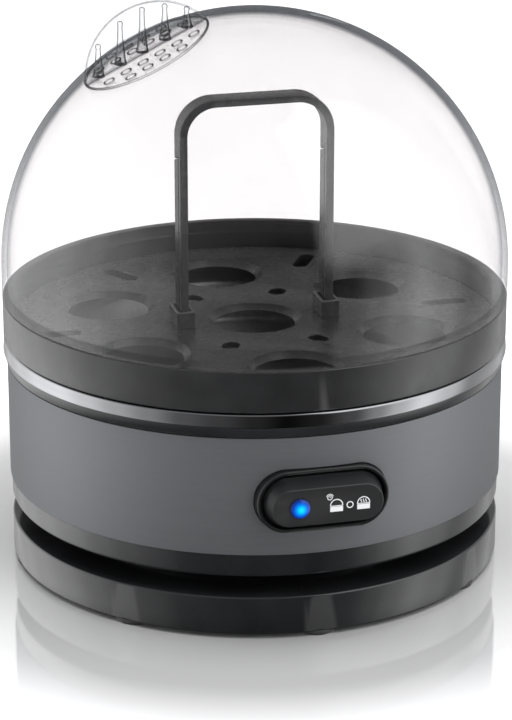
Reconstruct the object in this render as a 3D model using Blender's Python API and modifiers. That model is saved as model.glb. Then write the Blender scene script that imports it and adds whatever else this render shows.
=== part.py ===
"""Seven-seat electric egg cooker: clear lid, lift-out rack, heated dish and cord-store base.

Origin on the resting plane, below the centre of the base. +Z up, control panel towards -Y.
"""
import math

import bmesh
import bpy
from mathutils import Matrix, Vector

MM = 0.001

# driving sizes, in millimetres
BODY_R = 80.0          # steel sleeve, outside
SLEEVE_H = 38.3
SLEEVE_WALL = 0.8
FOOT_DROP = 1.2        # how far the feet stand out of the base
BASE_H = 12.5
GROOVE_H = 7.0         # cord-store groove
GROOVE_DEPTH = 25.0
SKIRT_H = 6.9
TRIM_H = 7.8
BAND_H = 12.9          # rim of the egg rack
BAND_WALL = 2.4
DOME_STRAIGHT = 9.6
LID_WALL = 1.8
GAP = 0.3              # between pieces that touch
PIN_FIT = 0.05         # pivot pin in its bores, on the radius
SLIDE = 0.6            # between pieces that lift apart
DISH_DROP = 10.0       # dish floor below the trim ring's foot
DISH_WALL = 1.2
SEAT_MOUTH_R = 15.5
SEAT_HOLE_R = 12.6
FACET_TILT = 26.4      # degrees off vertical, towards -X
FACET_R = 21.5
FIN_H = 15.0
FIN_T = 1.6
VENT_R = 1.5
HANDLE_W = 50.6
HANDLE_T = 2.65
HANDLE_D = 8.0
HANDLE_TOP = 77.2      # above the foot of the rack band
HANDLE_CORNER = 12.0
PANEL_L = 41.4
PANEL_H = 19.9
CAP_IN_L = 6.7         # the rocker face is this much shorter than the panel
CAP_IN_H = 8.0
CAP_PROUD = 6.0        # rocker face beyond the sleeve
LED_IN = 8.55          # light to the end of the rocker face
FOOT_R = 6.0
ELEMENT_R = 42.0
ELEMENT_TUBE_R = 3.3
POST_R = 3.6
SCREW_R = 1.4
GLAND_L = 10.0
GLAND_H = 5.6
PIN_R = 1.25           # rocker's pivot pin

# levels
Z_PAN = FOOT_DROP
Z_PAN_TOP = Z_PAN + BASE_H
Z_SKIRT = Z_PAN_TOP + GROOVE_H
Z_SLEEVE = Z_SKIRT + SKIRT_H
Z_TRIM = Z_SLEEVE + SLEEVE_H
Z_TRIM_TOP = Z_TRIM + TRIM_H
Z_BAND = Z_TRIM_TOP + GAP
Z_BAND_TOP = Z_BAND + BAND_H
Z_DOME = Z_BAND_TOP + GAP
Z_CENTRE = Z_DOME + DOME_STRAIGHT
Z_RACK_FLOOR = Z_BAND + 3.2
Z_DISH = Z_TRIM - DISH_DROP
Z_DISH_UNDER = Z_DISH - DISH_WALL
Z_ELEMENT = Z_DISH_UNDER - GAP - ELEMENT_TUBE_R
Z_CLAMP = Z_ELEMENT - ELEMENT_TUBE_R - GAP
Z_PANEL = Z_SLEEVE + 0.467 * SLEEVE_H
Z_CORD = (Z_PAN_TOP + Z_SKIRT) / 2
CLAMP_T = 1.2
PAN_FLOOR = 2.4
SHELF = 2.3

# panel parts that follow the window
CAP_L = PANEL_L - CAP_IN_L
CAP_H = PANEL_H - CAP_IN_H
LED_X = LED_IN - CAP_L / 2

# radii
BAND_R = BODY_R + 1.0
DOME_R = BAND_R + 0.1
PAN_R = BODY_R - 0.5
NECK_R = BODY_R - GROOVE_DEPTH
NECK_WALL = 2.4
BAND_INNER = BAND_R - BAND_WALL
SLEEVE_INNER = BODY_R - SLEEVE_WALL
TRIM_INNER = BODY_R - 3.1
LEDGE_R = BODY_R - 8.0
POST_PCR = BODY_R - 7.0
BOSS_PCR = NECK_R - 5.8
FOOT_PCR = BODY_R - 6.5
SEAT_PCR = 0.619 * BODY_R
DISH_RIM_R = TRIM_INNER - GAP
DISH_FLOOR_R = BODY_R - 20.8

POST_AZ = (-30.0, 90.0, 210.0)
BOSS_AZ = (45.0, 135.0, 225.0, 315.0)
SEAT_AZ = (-90.0, -30.0, 30.0, 90.0, 150.0, 210.0)

STEPS = 36


# ---------------------------------------------------------------- scene and materials
def clear_scene():
    for obj in list(bpy.data.objects):
        bpy.data.objects.remove(obj, do_unlink=True)


def new_collection(name):
    coll = bpy.data.collections.new(name)
    bpy.context.scene.collection.children.link(coll)
    return coll


clear_scene()
PARTS = new_collection("egg_cooker")
CUTTERS = new_collection("cutters")


def material(name, colour, roughness, metallic=0.0, alpha=1.0):
    mat = bpy.data.materials.get(name)
    if mat:
        return mat
    mat = bpy.data.materials.new(name)
    mat.use_nodes = True
    bsdf = mat.node_tree.nodes["Principled BSDF"]
    bsdf.inputs["Base Color"].default_value = (*colour, 1.0)
    bsdf.inputs["Roughness"].default_value = roughness
    bsdf.inputs["Metallic"].default_value = metallic
    bsdf.inputs["Alpha"].default_value = alpha
    return mat


CLEAR = material("clear_lid", (0.9, 0.92, 0.93), 0.06, 0.0, 0.25)
GLOSS = material("gloss_black", (0.022, 0.023, 0.025), 0.18)
RACK = material("rack_black", (0.03, 0.03, 0.032), 0.3)
STEEL = material("satin_steel", (0.17, 0.18, 0.19), 0.36, 0.9)
CHROME = material("dark_chrome", (0.5, 0.51, 0.53), 0.08, 1.0)
DISH = material("coated_dish", (0.12, 0.12, 0.125), 0.4, 0.6)
ALLOY = material("heater_sheath", (0.45, 0.45, 0.44), 0.45, 1.0)
ZINC = material("zinc_steel", (0.6, 0.6, 0.58), 0.35, 1.0)
SILICONE = material("silicone", (0.75, 0.76, 0.74), 0.6)
RUBBER = material("foot_rubber", (0.03, 0.03, 0.03), 0.8)
BLACK = material("panel_black", (0.02, 0.021, 0.023), 0.35)
BLUE = material("led_blue", (0.0, 0.35, 1.0), 0.15)
CREAM = material("phenolic", (0.55, 0.48, 0.36), 0.5)
BOARD = material("circuit_board", (0.05, 0.22, 0.09), 0.5)
LEAD_BROWN = material("lead_brown", (0.25, 0.1, 0.04), 0.6)
LEAD_BLUE = material("lead_blue", (0.05, 0.12, 0.4), 0.6)
LEAD_WHITE = material("lead_white", (0.75, 0.75, 0.72), 0.6)


# ---------------------------------------------------------------- building helpers
def place(name, mesh, mat, cutter=False):
    obj = bpy.data.objects.new(name, mesh)
    (CUTTERS if cutter else PARTS).objects.link(obj)
    if cutter:
        obj.hide_render = True
        obj.display_type = "WIRE"
    elif mat:
        mesh.materials.append(mat)
    return obj


def finish_bmesh(bm, name, mat, cutter=False):
    bmesh.ops.recalc_face_normals(bm, faces=bm.faces)
    mesh = bpy.data.meshes.new(name)
    bm.to_mesh(mesh)
    bm.free()
    if not cutter:
        mesh.shade_smooth()
        mesh.set_sharp_from_angle(angle=math.radians(35))
    return place(name, mesh, mat, cutter)


def turned(name, profile, mat, closed=False, steps=STEPS, cutter=False):
    """A turned solid; the (r, z) profile in mm runs down the outer side."""
    mesh = bpy.data.meshes.new(name)
    verts = [(r * MM, 0.0, z * MM) for r, z in profile]
    edges = [(i, i + 1) for i in range(len(verts) - 1)]
    if closed:
        edges.append((len(verts) - 1, 0))
    mesh.from_pydata(verts, edges, [])
    obj = place(name, mesh, mat, cutter)
    mod = obj.modifiers.new("turn", "SCREW")
    mod.axis = "Z"
    mod.angle = math.tau
    mod.screw_offset = 0.0
    mod.steps = steps
    mod.render_steps = steps
    mod.use_merge_vertices = True
    mod.merge_threshold = 0.00001
    mod.use_smooth_shade = True
    return obj


def cut(obj, cutter, operation="DIFFERENCE"):
    mod = obj.modifiers.new(cutter.name, "BOOLEAN")
    mod.operation = operation
    mod.solver = "EXACT"
    mod.object = cutter


def join(obj, other):
    cut(obj, other, "UNION")


def add_cyl(bm, centre, r1, r2, depth, segments=24, axis="Z"):
    """A cone or cylinder in mm about its middle; r1 at the low end of the axis."""
    turn = {"Z": Matrix.Identity(4), "Y": Matrix.Rotation(math.radians(-90), 4, "X"),
            "X": Matrix.Rotation(math.radians(90), 4, "Y")}[axis]
    matrix = Matrix.Translation(Vector(centre) * MM) @ turn
    bmesh.ops.create_cone(bm, cap_ends=True, segments=segments, radius1=r1 * MM,
                          radius2=r2 * MM, depth=depth * MM, matrix=matrix)


def add_box(bm, lo, hi):
    size = [(b - a) * MM for a, b in zip(lo, hi)]
    mid = [(a + b) / 2 * MM for a, b in zip(lo, hi)]
    matrix = Matrix.Translation(mid) @ Matrix.Diagonal((*size, 1.0))
    bmesh.ops.create_cube(bm, size=1.0, matrix=matrix)


def cylinder(name, centre, r, depth, mat, segments=24, axis="Z", cutter=False, r2=None):
    bm = bmesh.new()
    add_cyl(bm, centre, r, r if r2 is None else r2, depth, segments, axis)
    return finish_bmesh(bm, name, mat, cutter)


def box(name, lo, hi, mat, cutter=False):
    bm = bmesh.new()
    add_box(bm, lo, hi)
    return finish_bmesh(bm, name, mat, cutter)


def prism(bm, outline, direction):
    """A flat outline of points, in mm, drawn out along a direction."""
    face = bm.faces.new([bm.verts.new(Vector(p) * MM) for p in outline])
    grown = bmesh.ops.extrude_face_region(bm, geom=[face])
    moved = [g for g in grown["geom"] if isinstance(g, bmesh.types.BMVert)]
    bmesh.ops.translate(bm, vec=Vector(direction) * MM, verts=moved)


def obround(length, height, arc=8):
    """Outline of a stadium, long side along the first axis."""
    r = height / 2
    half = length / 2 - r
    pts = []
    for side, start in ((1, -90.0), (-1, 90.0)):
        for i in range(arc + 1):
            a = math.radians(start + 180.0 * i / arc)
            pts.append((side * half + r * math.cos(a), r * math.sin(a)))
    return pts


def obround_prism(bm, length, height, y0, y1, x=0.0, z=0.0, arc=8):
    outline = [(x + u, y0, z + v) for u, v in obround(length, height, arc)]
    prism(bm, outline, (0.0, y1 - y0, 0.0))


def loft(bm, sections):
    """Side faces between sections of equal count, and a cap on each end."""
    rings = [[bm.verts.new(Vector(p) * MM) for p in s] for s in sections]
    n = len(rings[0])
    for a, b in zip(rings, rings[1:]):
        for i in range(n):
            j = (i + 1) % n
            bm.faces.new((a[i], a[j], b[j], b[i]))
    bm.faces.new(rings[0])
    bm.faces.new(rings[-1])


def polar(radius, azimuth, z=0.0):
    a = math.radians(azimuth)
    return (radius * math.cos(a), radius * math.sin(a), z)


def smooth_path(points, per=3):
    """A curve through the given points, with a straight stub at each end."""
    pts = [Vector(p) for p in points]
    first, inner, last = pts[0], pts[1:-1], pts[-1]
    before = inner[0] + (first - inner[0]).normalized() * (inner[1] - inner[0]).length * 0.8
    after = inner[-1] + (last - inner[-1]).normalized() * (inner[-1] - inner[-2]).length * 0.8
    ext = [before] + inner + [after]
    out = [first]
    for i in range(1, len(ext) - 2):
        p0, p1, p2, p3 = ext[i - 1:i + 3]
        for k in range(per):
            t = k / per
            out.append(0.5 * (2 * p1 + (p2 - p0) * t + (2 * p0 - 5 * p1 + 4 * p2 - p3) * t * t
                              + (3 * p1 - p0 - 3 * p2 + p3) * t ** 3))
    return out + [inner[-1], last]


def tube(name, points, radius, mat):
    curve = bpy.data.curves.new(name + "_path", "CURVE")
    curve.dimensions = "3D"
    curve.bevel_depth = radius * MM
    curve.bevel_resolution = 1
    curve.use_fill_caps = True
    spline = curve.splines.new("POLY")
    spline.points.add(len(points) - 1)
    for sp, p in zip(spline.points, points):
        sp.co = (p[0] * MM, p[1] * MM, p[2] * MM, 1.0)
    guide = bpy.data.objects.new(name + "_path", curve)
    PARTS.objects.link(guide)
    bpy.context.view_layer.update()
    depsgraph = bpy.context.evaluated_depsgraph_get()
    mesh = bpy.data.meshes.new_from_object(guide.evaluated_get(depsgraph))
    mesh.name = name
    bpy.data.objects.remove(guide, do_unlink=True)
    bm = bmesh.new()
    bm.from_mesh(mesh)
    bmesh.ops.remove_doubles(bm, verts=bm.verts, dist=0.00001)
    bmesh.ops.recalc_face_normals(bm, faces=bm.faces)
    bm.to_mesh(mesh)
    bm.free()
    mesh.materials.clear()
    return place(name, mesh, mat)


def arc_points(cx, cz, r, a0, a1, n):
    return [(cx + r * math.cos(math.radians(a0 + (a1 - a0) * i / n)),
             cz + r * math.sin(math.radians(a0 + (a1 - a0) * i / n))) for i in range(n + 1)]


def screw(name, centre, head_z, head_r, head_h, length, mat=ZINC):
    """A pan-head screw pointing up from its head."""
    x, y = centre[0], centre[1]
    profile = [(0.0, head_z + head_h + length), (SCREW_R * 0.6, head_z + head_h + length),
               (SCREW_R, head_z + head_h + length - 1.0), (SCREW_R, head_z + head_h),
               (head_r, head_z + head_h), (head_r, head_z + 0.35 * head_h),
               (0.7 * head_r, head_z), (0.0, head_z)]
    obj = turned(name, profile, mat, steps=8)
    obj.location = (x * MM, y * MM, 0.0)
    return obj


# ---------------------------------------------------------------- lid
def facet_frame():
    """Unit vectors of the grip facet: outward normal, and up its slope."""
    t = math.radians(FACET_TILT)
    normal = Vector((-math.sin(t), 0.0, math.cos(t)))
    slope = Vector((math.cos(t), 0.0, math.sin(t)))
    return normal, slope


def facet_depth():
    return math.sqrt(DOME_R ** 2 - FACET_R ** 2)


def facet_block(name, depth):
    """A block whose lower side lies across the dome at this distance from its centre."""
    bm = bmesh.new()
    normal, slope = facet_frame()
    size = 4 * FACET_R
    rot = Matrix((slope, Vector((0, 1, 0)), normal)).transposed().to_4x4()
    centre = Vector((0, 0, Z_CENTRE)) + normal * (depth + size / 2)
    matrix = Matrix.Translation(centre * MM) @ rot @ Matrix.Diagonal((size * MM, size * MM, size * MM, 1))
    bmesh.ops.create_cube(bm, size=1.0, matrix=matrix)
    return finish_bmesh(bm, name, None, cutter=True)


def lid_fin():
    normal, slope = facet_frame()
    centre = Vector((0, 0, Z_CENTRE)) + normal * facet_depth()
    half = FACET_R - 0.1
    radius = (half ** 2 + FIN_H ** 2) / (2 * FIN_H)
    rise = FIN_H - radius
    a0 = math.degrees(math.asin(-rise / radius))
    outline = []
    for u, v in arc_points(0.0, rise, radius, a0, 180.0 - a0, 12):
        p = centre + slope * u + normal * v
        outline.append((p.x, -FIN_T / 2, p.z))
    for u in (-half + 1.0, half - 1.0):
        p = centre + slope * u - normal * 0.9
        outline.append((p.x, -FIN_T / 2, p.z))
    bm = bmesh.new()
    prism(bm, outline, (0.0, FIN_T, 0.0))
    return finish_bmesh(bm, "fin", None, cutter=True)


RIBS = ((-15.2, 73.6), (-8.2, 80.4), (-1.2, 84.4), (6.0, 85.1), (13.0, 83.9))


def lid_ribs():
    """Five upright tapered ribs through the fin; (x from the facet's centre, top above the dome centre)."""
    normal, slope = facet_frame()
    centre = Vector((0, 0, Z_CENTRE)) + normal * facet_depth()
    bm = bmesh.new()
    for dx, top in RIBS:
        x = centre.x + dx
        z0 = centre.z + dx * math.tan(math.radians(FACET_TILT)) - 1.0
        z1 = Z_CENTRE + top * DOME_R / 81.1
        add_cyl(bm, (x, 0.0, (z0 + z1) / 2), 1.75, 0.75, z1 - z0, 8)
    return finish_bmesh(bm, "ribs", None, cutter=True)


def lid_vents():
    """Steam holes through the facet, square to it."""
    normal, slope = facet_frame()
    centre = Vector((0, 0, Z_CENTRE)) + normal * facet_depth()
    rot = Matrix((slope, Vector((0, 1, 0)), normal)).transposed().to_4x4()
    bm = bmesh.new()
    rows = [(7.5, (-15.0, -9.0, -3.0, 3.0, 9.0, 15.0)), (14.2, (-9.0, -3.0, 3.0, 9.0))]
    for y, along in rows:
        for side in (-1, 1):
            for u in along:
                p = centre + slope * u + Vector((0, side * y, 0))
                bmesh.ops.create_cone(bm, cap_ends=True, segments=6, radius1=VENT_R * MM,
                                      radius2=VENT_R * MM, depth=9 * MM,
                                      matrix=Matrix.Translation(p * MM) @ rot)
    return finish_bmesh(bm, "vents", None, cutter=True)


def lid_slot():
    """Long slot on the far side of the crown, 17.5 degrees off vertical."""
    t = math.radians(17.5)
    normal = Vector((math.sin(t), 0.0, math.cos(t)))
    along = Vector((math.cos(t), 0.0, -math.sin(t)))
    rot = Matrix((along, Vector((0, 1, 0)), normal)).transposed().to_4x4()
    centre = Vector((0, 0, Z_CENTRE)) + normal * (DOME_R - 4.0)
    bm = bmesh.new()
    prism(bm, [(u, v, 0.0) for u, v in obround(13.4, 4.0, 6)], (0.0, 0.0, 8.0))
    bmesh.ops.transform(bm, matrix=Matrix.Translation(centre * MM) @ rot, verts=bm.verts)
    return finish_bmesh(bm, "crown_slot", None, cutter=True)


def make_lid():
    spigot = BAND_INNER - SLIDE
    outer = [(0.0, Z_CENTRE + DOME_R)]
    outer += [(DOME_R * math.sin(math.radians(a)), Z_CENTRE + DOME_R * math.cos(math.radians(a)))
              for a in range(10, 91, 10)]
    outer += [(DOME_R, Z_DOME), (spigot, Z_DOME), (spigot, Z_BAND_TOP - 4.0), (0.0, Z_BAND_TOP - 4.0)]
    lid = turned("lid_dome", outer, CLEAR)
    inner_r = DOME_R - LID_WALL
    inner = [(0.0, Z_CENTRE + inner_r)]
    inner += [(inner_r * math.sin(math.radians(a)), Z_CENTRE + inner_r * math.cos(math.radians(a)))
              for a in range(12, 85, 12)]
    inner += [(inner_r, Z_CENTRE), (inner_r, Z_DOME + 2.4), (spigot - LID_WALL, Z_DOME),
              (spigot - LID_WALL, Z_BAND_TOP - 8.0), (0.0, Z_BAND_TOP - 8.0)]
    core = turned("lid_core", inner, None, cutter=True)
    cut(core, facet_block("facet_inside", facet_depth() - LID_WALL))
    cut(lid, facet_block("facet_outside", facet_depth()))
    cut(lid, core)
    join(lid, lid_fin())
    join(lid, lid_ribs())
    cut(lid, lid_vents())
    cut(lid, lid_slot())
    return lid


# ---------------------------------------------------------------- egg rack and its handle
def leg_x():
    return HANDLE_W / 2 - HANDLE_T


def rack_posts():
    """Upright beside each handle leg, with a sloping top, on a socket block."""
    bm = bmesh.new()
    x0, x1 = leg_x(), HANDLE_W / 2
    back = HANDLE_D / 2
    front = -1.3
    for side in (-1, 1):
        top = Z_BAND + 0.758 * HANDLE_TOP
        outline = [(side * x0, front, Z_RACK_FLOOR - 1.0), (side * x0, back, Z_RACK_FLOOR - 1.0),
                   (side * x0, back, top - 1.7), (side * x0, front, top)]
        prism(bm, outline, (side * (x1 - x0), 0.0, 0.0))
    return finish_bmesh(bm, "posts", None, cutter=True)


def rack_sockets():
    bm = bmesh.new()
    x0, x1 = leg_x() - 1.7, HANDLE_W / 2 + 1.7
    for side in (-1, 1):
        lo = (min(side * x0, side * x1), -HANDLE_D / 2 - 1.7, Z_RACK_FLOOR - 1.0)
        hi = (max(side * x0, side * x1), HANDLE_D / 2 + 1.7, Z_RACK_FLOOR + 5.5)
        add_box(bm, lo, hi)
    return finish_bmesh(bm, "sockets", None, cutter=True)


def rack_pockets():
    bm = bmesh.new()
    x0, x1 = leg_x() - GAP, HANDLE_W / 2 + GAP
    for side in (-1, 1):
        lo = (min(side * x0, side * x1), -HANDLE_D / 2 - GAP, Z_RACK_FLOOR + 0.2)
        hi = (max(side * x0, side * x1), -1.3, Z_RACK_FLOOR + 9.0)
        add_box(bm, lo, hi)
    return finish_bmesh(bm, "pockets", None, cutter=True)


def rack_holes():
    """Seven conical seats and the steam slots between them."""
    bm = bmesh.new()
    low, high = Z_RACK_FLOOR - 2.2, Z_RACK_FLOOR + 0.2
    for place_xy in [(0.0, 0.0, 0.0)] + [polar(SEAT_PCR, a) for a in SEAT_AZ]:
        add_cyl(bm, (place_xy[0], place_xy[1], (low + high) / 2), SEAT_HOLE_R, SEAT_MOUTH_R, high - low, 16)
    return finish_bmesh(bm, "seats", None, cutter=True)


def rack_slots():
    bm = bmesh.new()
    low = Z_RACK_FLOOR - 4.0
    for k in range(6):
        a = 60.0 * k
        mid = SEAT_PCR + 15.0
        slots = [(mid, 15.0, 5.0)]
        if k % 3:
            slots.append((0.54 * SEAT_PCR + 2.0, 7.0, 5.5))
        for r, length, width in slots:
            made = bmesh.new()
            prism(made, [(u + r, v, low) for u, v in obround(length, width, 5)], (0.0, 0.0, 8.0))
            bmesh.ops.rotate(made, verts=made.verts, matrix=Matrix.Rotation(math.radians(a), 3, "Z"))
            mesh = bpy.data.meshes.new("slot")
            made.to_mesh(mesh)
            made.free()
            bm.from_mesh(mesh)
            bpy.data.meshes.remove(mesh)
    return finish_bmesh(bm, "steam_slots", None, cutter=True)


def make_rack():
    spigot = TRIM_INNER - SLIDE
    under = Z_RACK_FLOOR - 2.0
    profile = [(0.0, Z_RACK_FLOOR), (BAND_INNER, Z_RACK_FLOOR), (BAND_INNER, Z_BAND_TOP),
               (BAND_R - 0.4, Z_BAND_TOP), (BAND_R, Z_BAND_TOP - 0.4), (BAND_R, Z_BAND + 0.5),
               (BAND_R - 0.4, Z_BAND), (spigot, Z_BAND), (spigot, Z_TRIM_TOP - 3.2),
               (spigot - 1.9, Z_TRIM_TOP - 3.2), (spigot - 1.9, under), (0.0, under)]
    rack = turned("egg_rack", profile, RACK)
    cut(rack, rack_holes())
    cut(rack, rack_slots())
    join(rack, rack_sockets())
    join(rack, rack_posts())
    cut(rack, rack_pockets())
    return rack


def make_handle():
    half, top = HANDLE_W / 2, Z_BAND + HANDLE_TOP
    foot = Z_RACK_FLOOR + 0.5
    rc, ri = HANDLE_CORNER, HANDLE_CORNER - HANDLE_T
    outer = [(half, foot)] + arc_points(half - rc, top - rc, rc, 0, 90, 7)
    outer += arc_points(-half + rc, top - rc, rc, 90, 180, 7) + [(-half, foot)]
    inner = [(-half + HANDLE_T, foot)] + arc_points(-half + rc, top - rc, ri, 180, 90, 7)
    inner += arc_points(half - rc, top - rc, ri, 90, 0, 7) + [(half - HANDLE_T, foot)]
    bm = bmesh.new()
    prism(bm, [(x, -HANDLE_D / 2, z) for x, z in outer + inner], (0.0, HANDLE_D, 0.0))
    handle = finish_bmesh(bm, "rack_handle", RACK)
    seam = Z_BAND + 0.758 * HANDLE_TOP + GAP
    bm = bmesh.new()
    prism(bm, [(-half - 2, -1.3 - GAP, foot - 2), (-half - 2, HANDLE_D, foot - 2),
               (-half - 2, HANDLE_D, seam - 2.9), (-half - 2, -1.3 - GAP, seam)],
          (2 * half + 4, 0.0, 0.0))
    cut(handle, finish_bmesh(bm, "leg_step", None, cutter=True))
    return handle


# ---------------------------------------------------------------- housing
def make_trim():
    spigot = SLEEVE_INNER - GAP
    low = Z_TRIM - 3.6
    profile = [(TRIM_INNER, Z_TRIM_TOP), (BODY_R + 0.2, Z_TRIM_TOP), (BODY_R + 0.9, Z_TRIM_TOP - 0.6),
               (BODY_R + 1.2, Z_TRIM_TOP - 4.1), (BODY_R + 0.1, Z_TRIM), (spigot, Z_TRIM),
               (spigot, low), (spigot - 1.6, low), (spigot - 1.6, Z_TRIM - 1.3),
               (LEDGE_R, Z_TRIM - 1.3), (LEDGE_R, Z_TRIM + 0.7), (TRIM_INNER, Z_TRIM + 0.7)]
    trim = turned("trim_ring", profile, CHROME, closed=True)
    bm = bmesh.new()
    holes = bmesh.new()
    for a in POST_AZ:
        x, y, z = polar(POST_PCR, a)
        add_cyl(bm, (x, y, (Z_TRIM - 14.0 + Z_TRIM - 0.3) / 2), POST_R, POST_R, 13.7, 12)
        add_cyl(holes, (x, y, Z_TRIM - 10.0), SCREW_R + GAP, SCREW_R + GAP, 12.0, 8)
    join(trim, finish_bmesh(bm, "trim_bosses", None, cutter=True))
    cut(trim, finish_bmesh(holes, "trim_bores", None, cutter=True))
    return trim


def make_sleeve():
    low, high = Z_SLEEVE + GAP, Z_TRIM - GAP
    profile = [(BODY_R, high), (BODY_R, low), (SLEEVE_INNER, low), (SLEEVE_INNER, high)]
    sleeve = turned("housing_shell", profile, STEEL, closed=True)
    bm = bmesh.new()
    obround_prism(bm, PANEL_L + 2 * GAP, PANEL_H + 2 * GAP, -BODY_R - 5, -BODY_R + 10, z=Z_PANEL)
    cut(sleeve, finish_bmesh(bm, "panel_window", None, cutter=True))
    return sleeve


def make_lower_housing():
    spigot = SLEEVE_INNER - GAP
    inner = NECK_R - NECK_WALL
    profile = [(spigot, Z_SLEEVE + 3.4), (spigot, Z_SLEEVE), (BODY_R - 0.1, Z_SLEEVE),
               (BODY_R - 0.6, Z_SKIRT + 0.4), (BODY_R - 1.0, Z_SKIRT), (NECK_R, Z_SKIRT),
               (NECK_R, Z_PAN_TOP + GAP), (inner, Z_PAN_TOP + GAP), (inner, Z_SKIRT + SHELF),
               (spigot - 1.5, Z_SKIRT + SHELF), (spigot - 1.5, Z_SLEEVE + 3.4)]
    body = turned("lower_housing", profile, GLOSS, closed=True)
    posts = bmesh.new()
    heads = bmesh.new()
    shanks = bmesh.new()
    post_top = Z_TRIM - 14.0 - GAP
    for a in POST_AZ:
        x, y, z = polar(POST_PCR, a)
        low = Z_SKIRT + 1.0
        add_cyl(posts, (x, y, (low + post_top) / 2), POST_R, POST_R, post_top - low, 14)
        seat = post_top - 9.7
        add_cyl(heads, (x, y, (Z_SKIRT - 1 + seat) / 2), 2.95, 2.95, seat - Z_SKIRT + 1, 12)
        add_cyl(shanks, (x, y, post_top), SCREW_R + GAP, SCREW_R + GAP, 24.0, 8)
    for a in BOSS_AZ:
        x, y, z = polar(BOSS_PCR, a)
        low, high = Z_PAN_TOP + GAP, Z_SKIRT + 5.0
        add_cyl(posts, (x, y, (low + high) / 2), 4.0, 4.0, high - low, 14)
        add_cyl(shanks, (x, y, low + 4.5), SCREW_R + GAP, SCREW_R + GAP, 11.0, 8)
    join(body, finish_bmesh(posts, "housing_posts", None, cutter=True))
    cut(body, finish_bmesh(heads, "housing_head_bores", None, cutter=True))
    cut(body, finish_bmesh(shanks, "housing_shank_bores", None, cutter=True))
    bm = bmesh.new()
    half = GLAND_L / 2 + GAP
    top = Z_CORD + GLAND_H / 2 + GAP
    prism(bm, [(-half, inner - 3, Z_PAN_TOP - 1), (half, inner - 3, Z_PAN_TOP - 1),
               (half, inner - 3, top - 2.0), (half - 2.0, inner - 3, top),
               (-half + 2.0, inner - 3, top), (-half, inner - 3, top - 2.0)], (0.0, NECK_WALL + 8.0, 0.0))
    cut(body, finish_bmesh(bm, "cord_window", None, cutter=True))
    return body


def make_pan():
    floor = Z_PAN + PAN_FLOOR
    hole = NECK_R - 4.5
    profile = [(0.0, floor), (PAN_R - 2.4, floor), (PAN_R - 2.4, Z_PAN_TOP - 2.2),
               (hole, Z_PAN_TOP - 2.2), (hole, Z_PAN_TOP), (PAN_R - 0.6, Z_PAN_TOP),
               (PAN_R, Z_PAN_TOP - 0.6), (PAN_R, Z_PAN + 0.8), (PAN_R - 0.8, Z_PAN), (0.0, Z_PAN)]
    pan = turned("base_pan", profile, GLOSS)
    posts = bmesh.new()
    heads = bmesh.new()
    shanks = bmesh.new()
    for a in BOSS_AZ:
        x, y, z = polar(BOSS_PCR, a)
        add_cyl(posts, (x, y, (floor - 1 + Z_PAN_TOP) / 2), 4.0, 4.0, Z_PAN_TOP - floor + 1, 14)
        add_cyl(heads, (x, y, Z_PAN + 2.0), 3.1, 3.1, 5.6, 12)
        add_cyl(shanks, (x, y, Z_PAN_TOP - 4.0), SCREW_R + GAP, SCREW_R + GAP, 14.0, 8)
    for side in (-1, 1):
        centre = (side * 8.5, NECK_R - 15.0, (floor - 1 + Z_PAN_TOP) / 2)
        add_cyl(posts, centre, 2.8, 2.8, Z_PAN_TOP - floor + 1, 12)
        add_cyl(shanks, (centre[0], centre[1], Z_PAN_TOP - 1.0), SCREW_R + GAP, SCREW_R + GAP, 9.0, 8)
    join(pan, finish_bmesh(posts, "pan_posts", None, cutter=True))
    cut(pan, finish_bmesh(heads, "pan_head_bores", None, cutter=True))
    cut(pan, finish_bmesh(shanks, "pan_shank_bores", None, cutter=True))
    bm = bmesh.new()
    for k in range(8):
        x, y, z = polar(FOOT_PCR, -90.0 + 45.0 * k)
        add_cyl(bm, (x, y, Z_PAN), FOOT_R + GAP, FOOT_R + GAP, 1.6, 14)
    cut(pan, finish_bmesh(bm, "foot_recesses", None, cutter=True))
    return pan


def make_feet():
    high = Z_PAN + 0.8 - GAP
    for k in range(8):
        profile = [(0.0, high), (FOOT_R, high), (FOOT_R, 0.4), (FOOT_R - 0.4, 0.0), (0.0, 0.0)]
        foot = turned("foot_%d" % (k + 1), profile, RUBBER, steps=14)
        foot.location = Vector(polar(FOOT_PCR, -90.0 + 45.0 * k)) * MM


# ---------------------------------------------------------------- heating
def make_dish():
    r = DISH_FLOOR_R
    t = DISH_WALL
    rim = Z_TRIM + 0.7 + GAP + 1.2 + GAP
    flare = DISH_RIM_R - 10.4
    profile = [(0.0, Z_DISH), (r, Z_DISH), (r + 1.2, Z_DISH + 1.1), (flare - 1.2, rim + 0.2),
               (flare, rim + t), (DISH_RIM_R, rim + t), (DISH_RIM_R, rim), (flare + 0.6, rim),
               (flare - 0.2, rim - 0.7), (r + 2.2, Z_DISH - 0.2), (r + 0.7, Z_DISH_UNDER),
               (2.0, Z_DISH_UNDER), (2.0, Z_CLAMP - CLAMP_T - 5.2), (0.0, Z_CLAMP - CLAMP_T - 5.2)]
    return turned("heating_dish", profile, DISH)


def make_seal():
    low = Z_TRIM + 0.7 + GAP
    profile = [(TRIM_INNER - 0.5, low + 1.2), (TRIM_INNER - 0.5, low), (LEDGE_R + 0.4, low),
               (LEDGE_R + 0.4, low + 1.2)]
    return turned("dish_seal", profile, SILICONE, closed=True)


def element_end(side):
    return polar(ELEMENT_R, 90.0 + side * 18.0)


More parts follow.
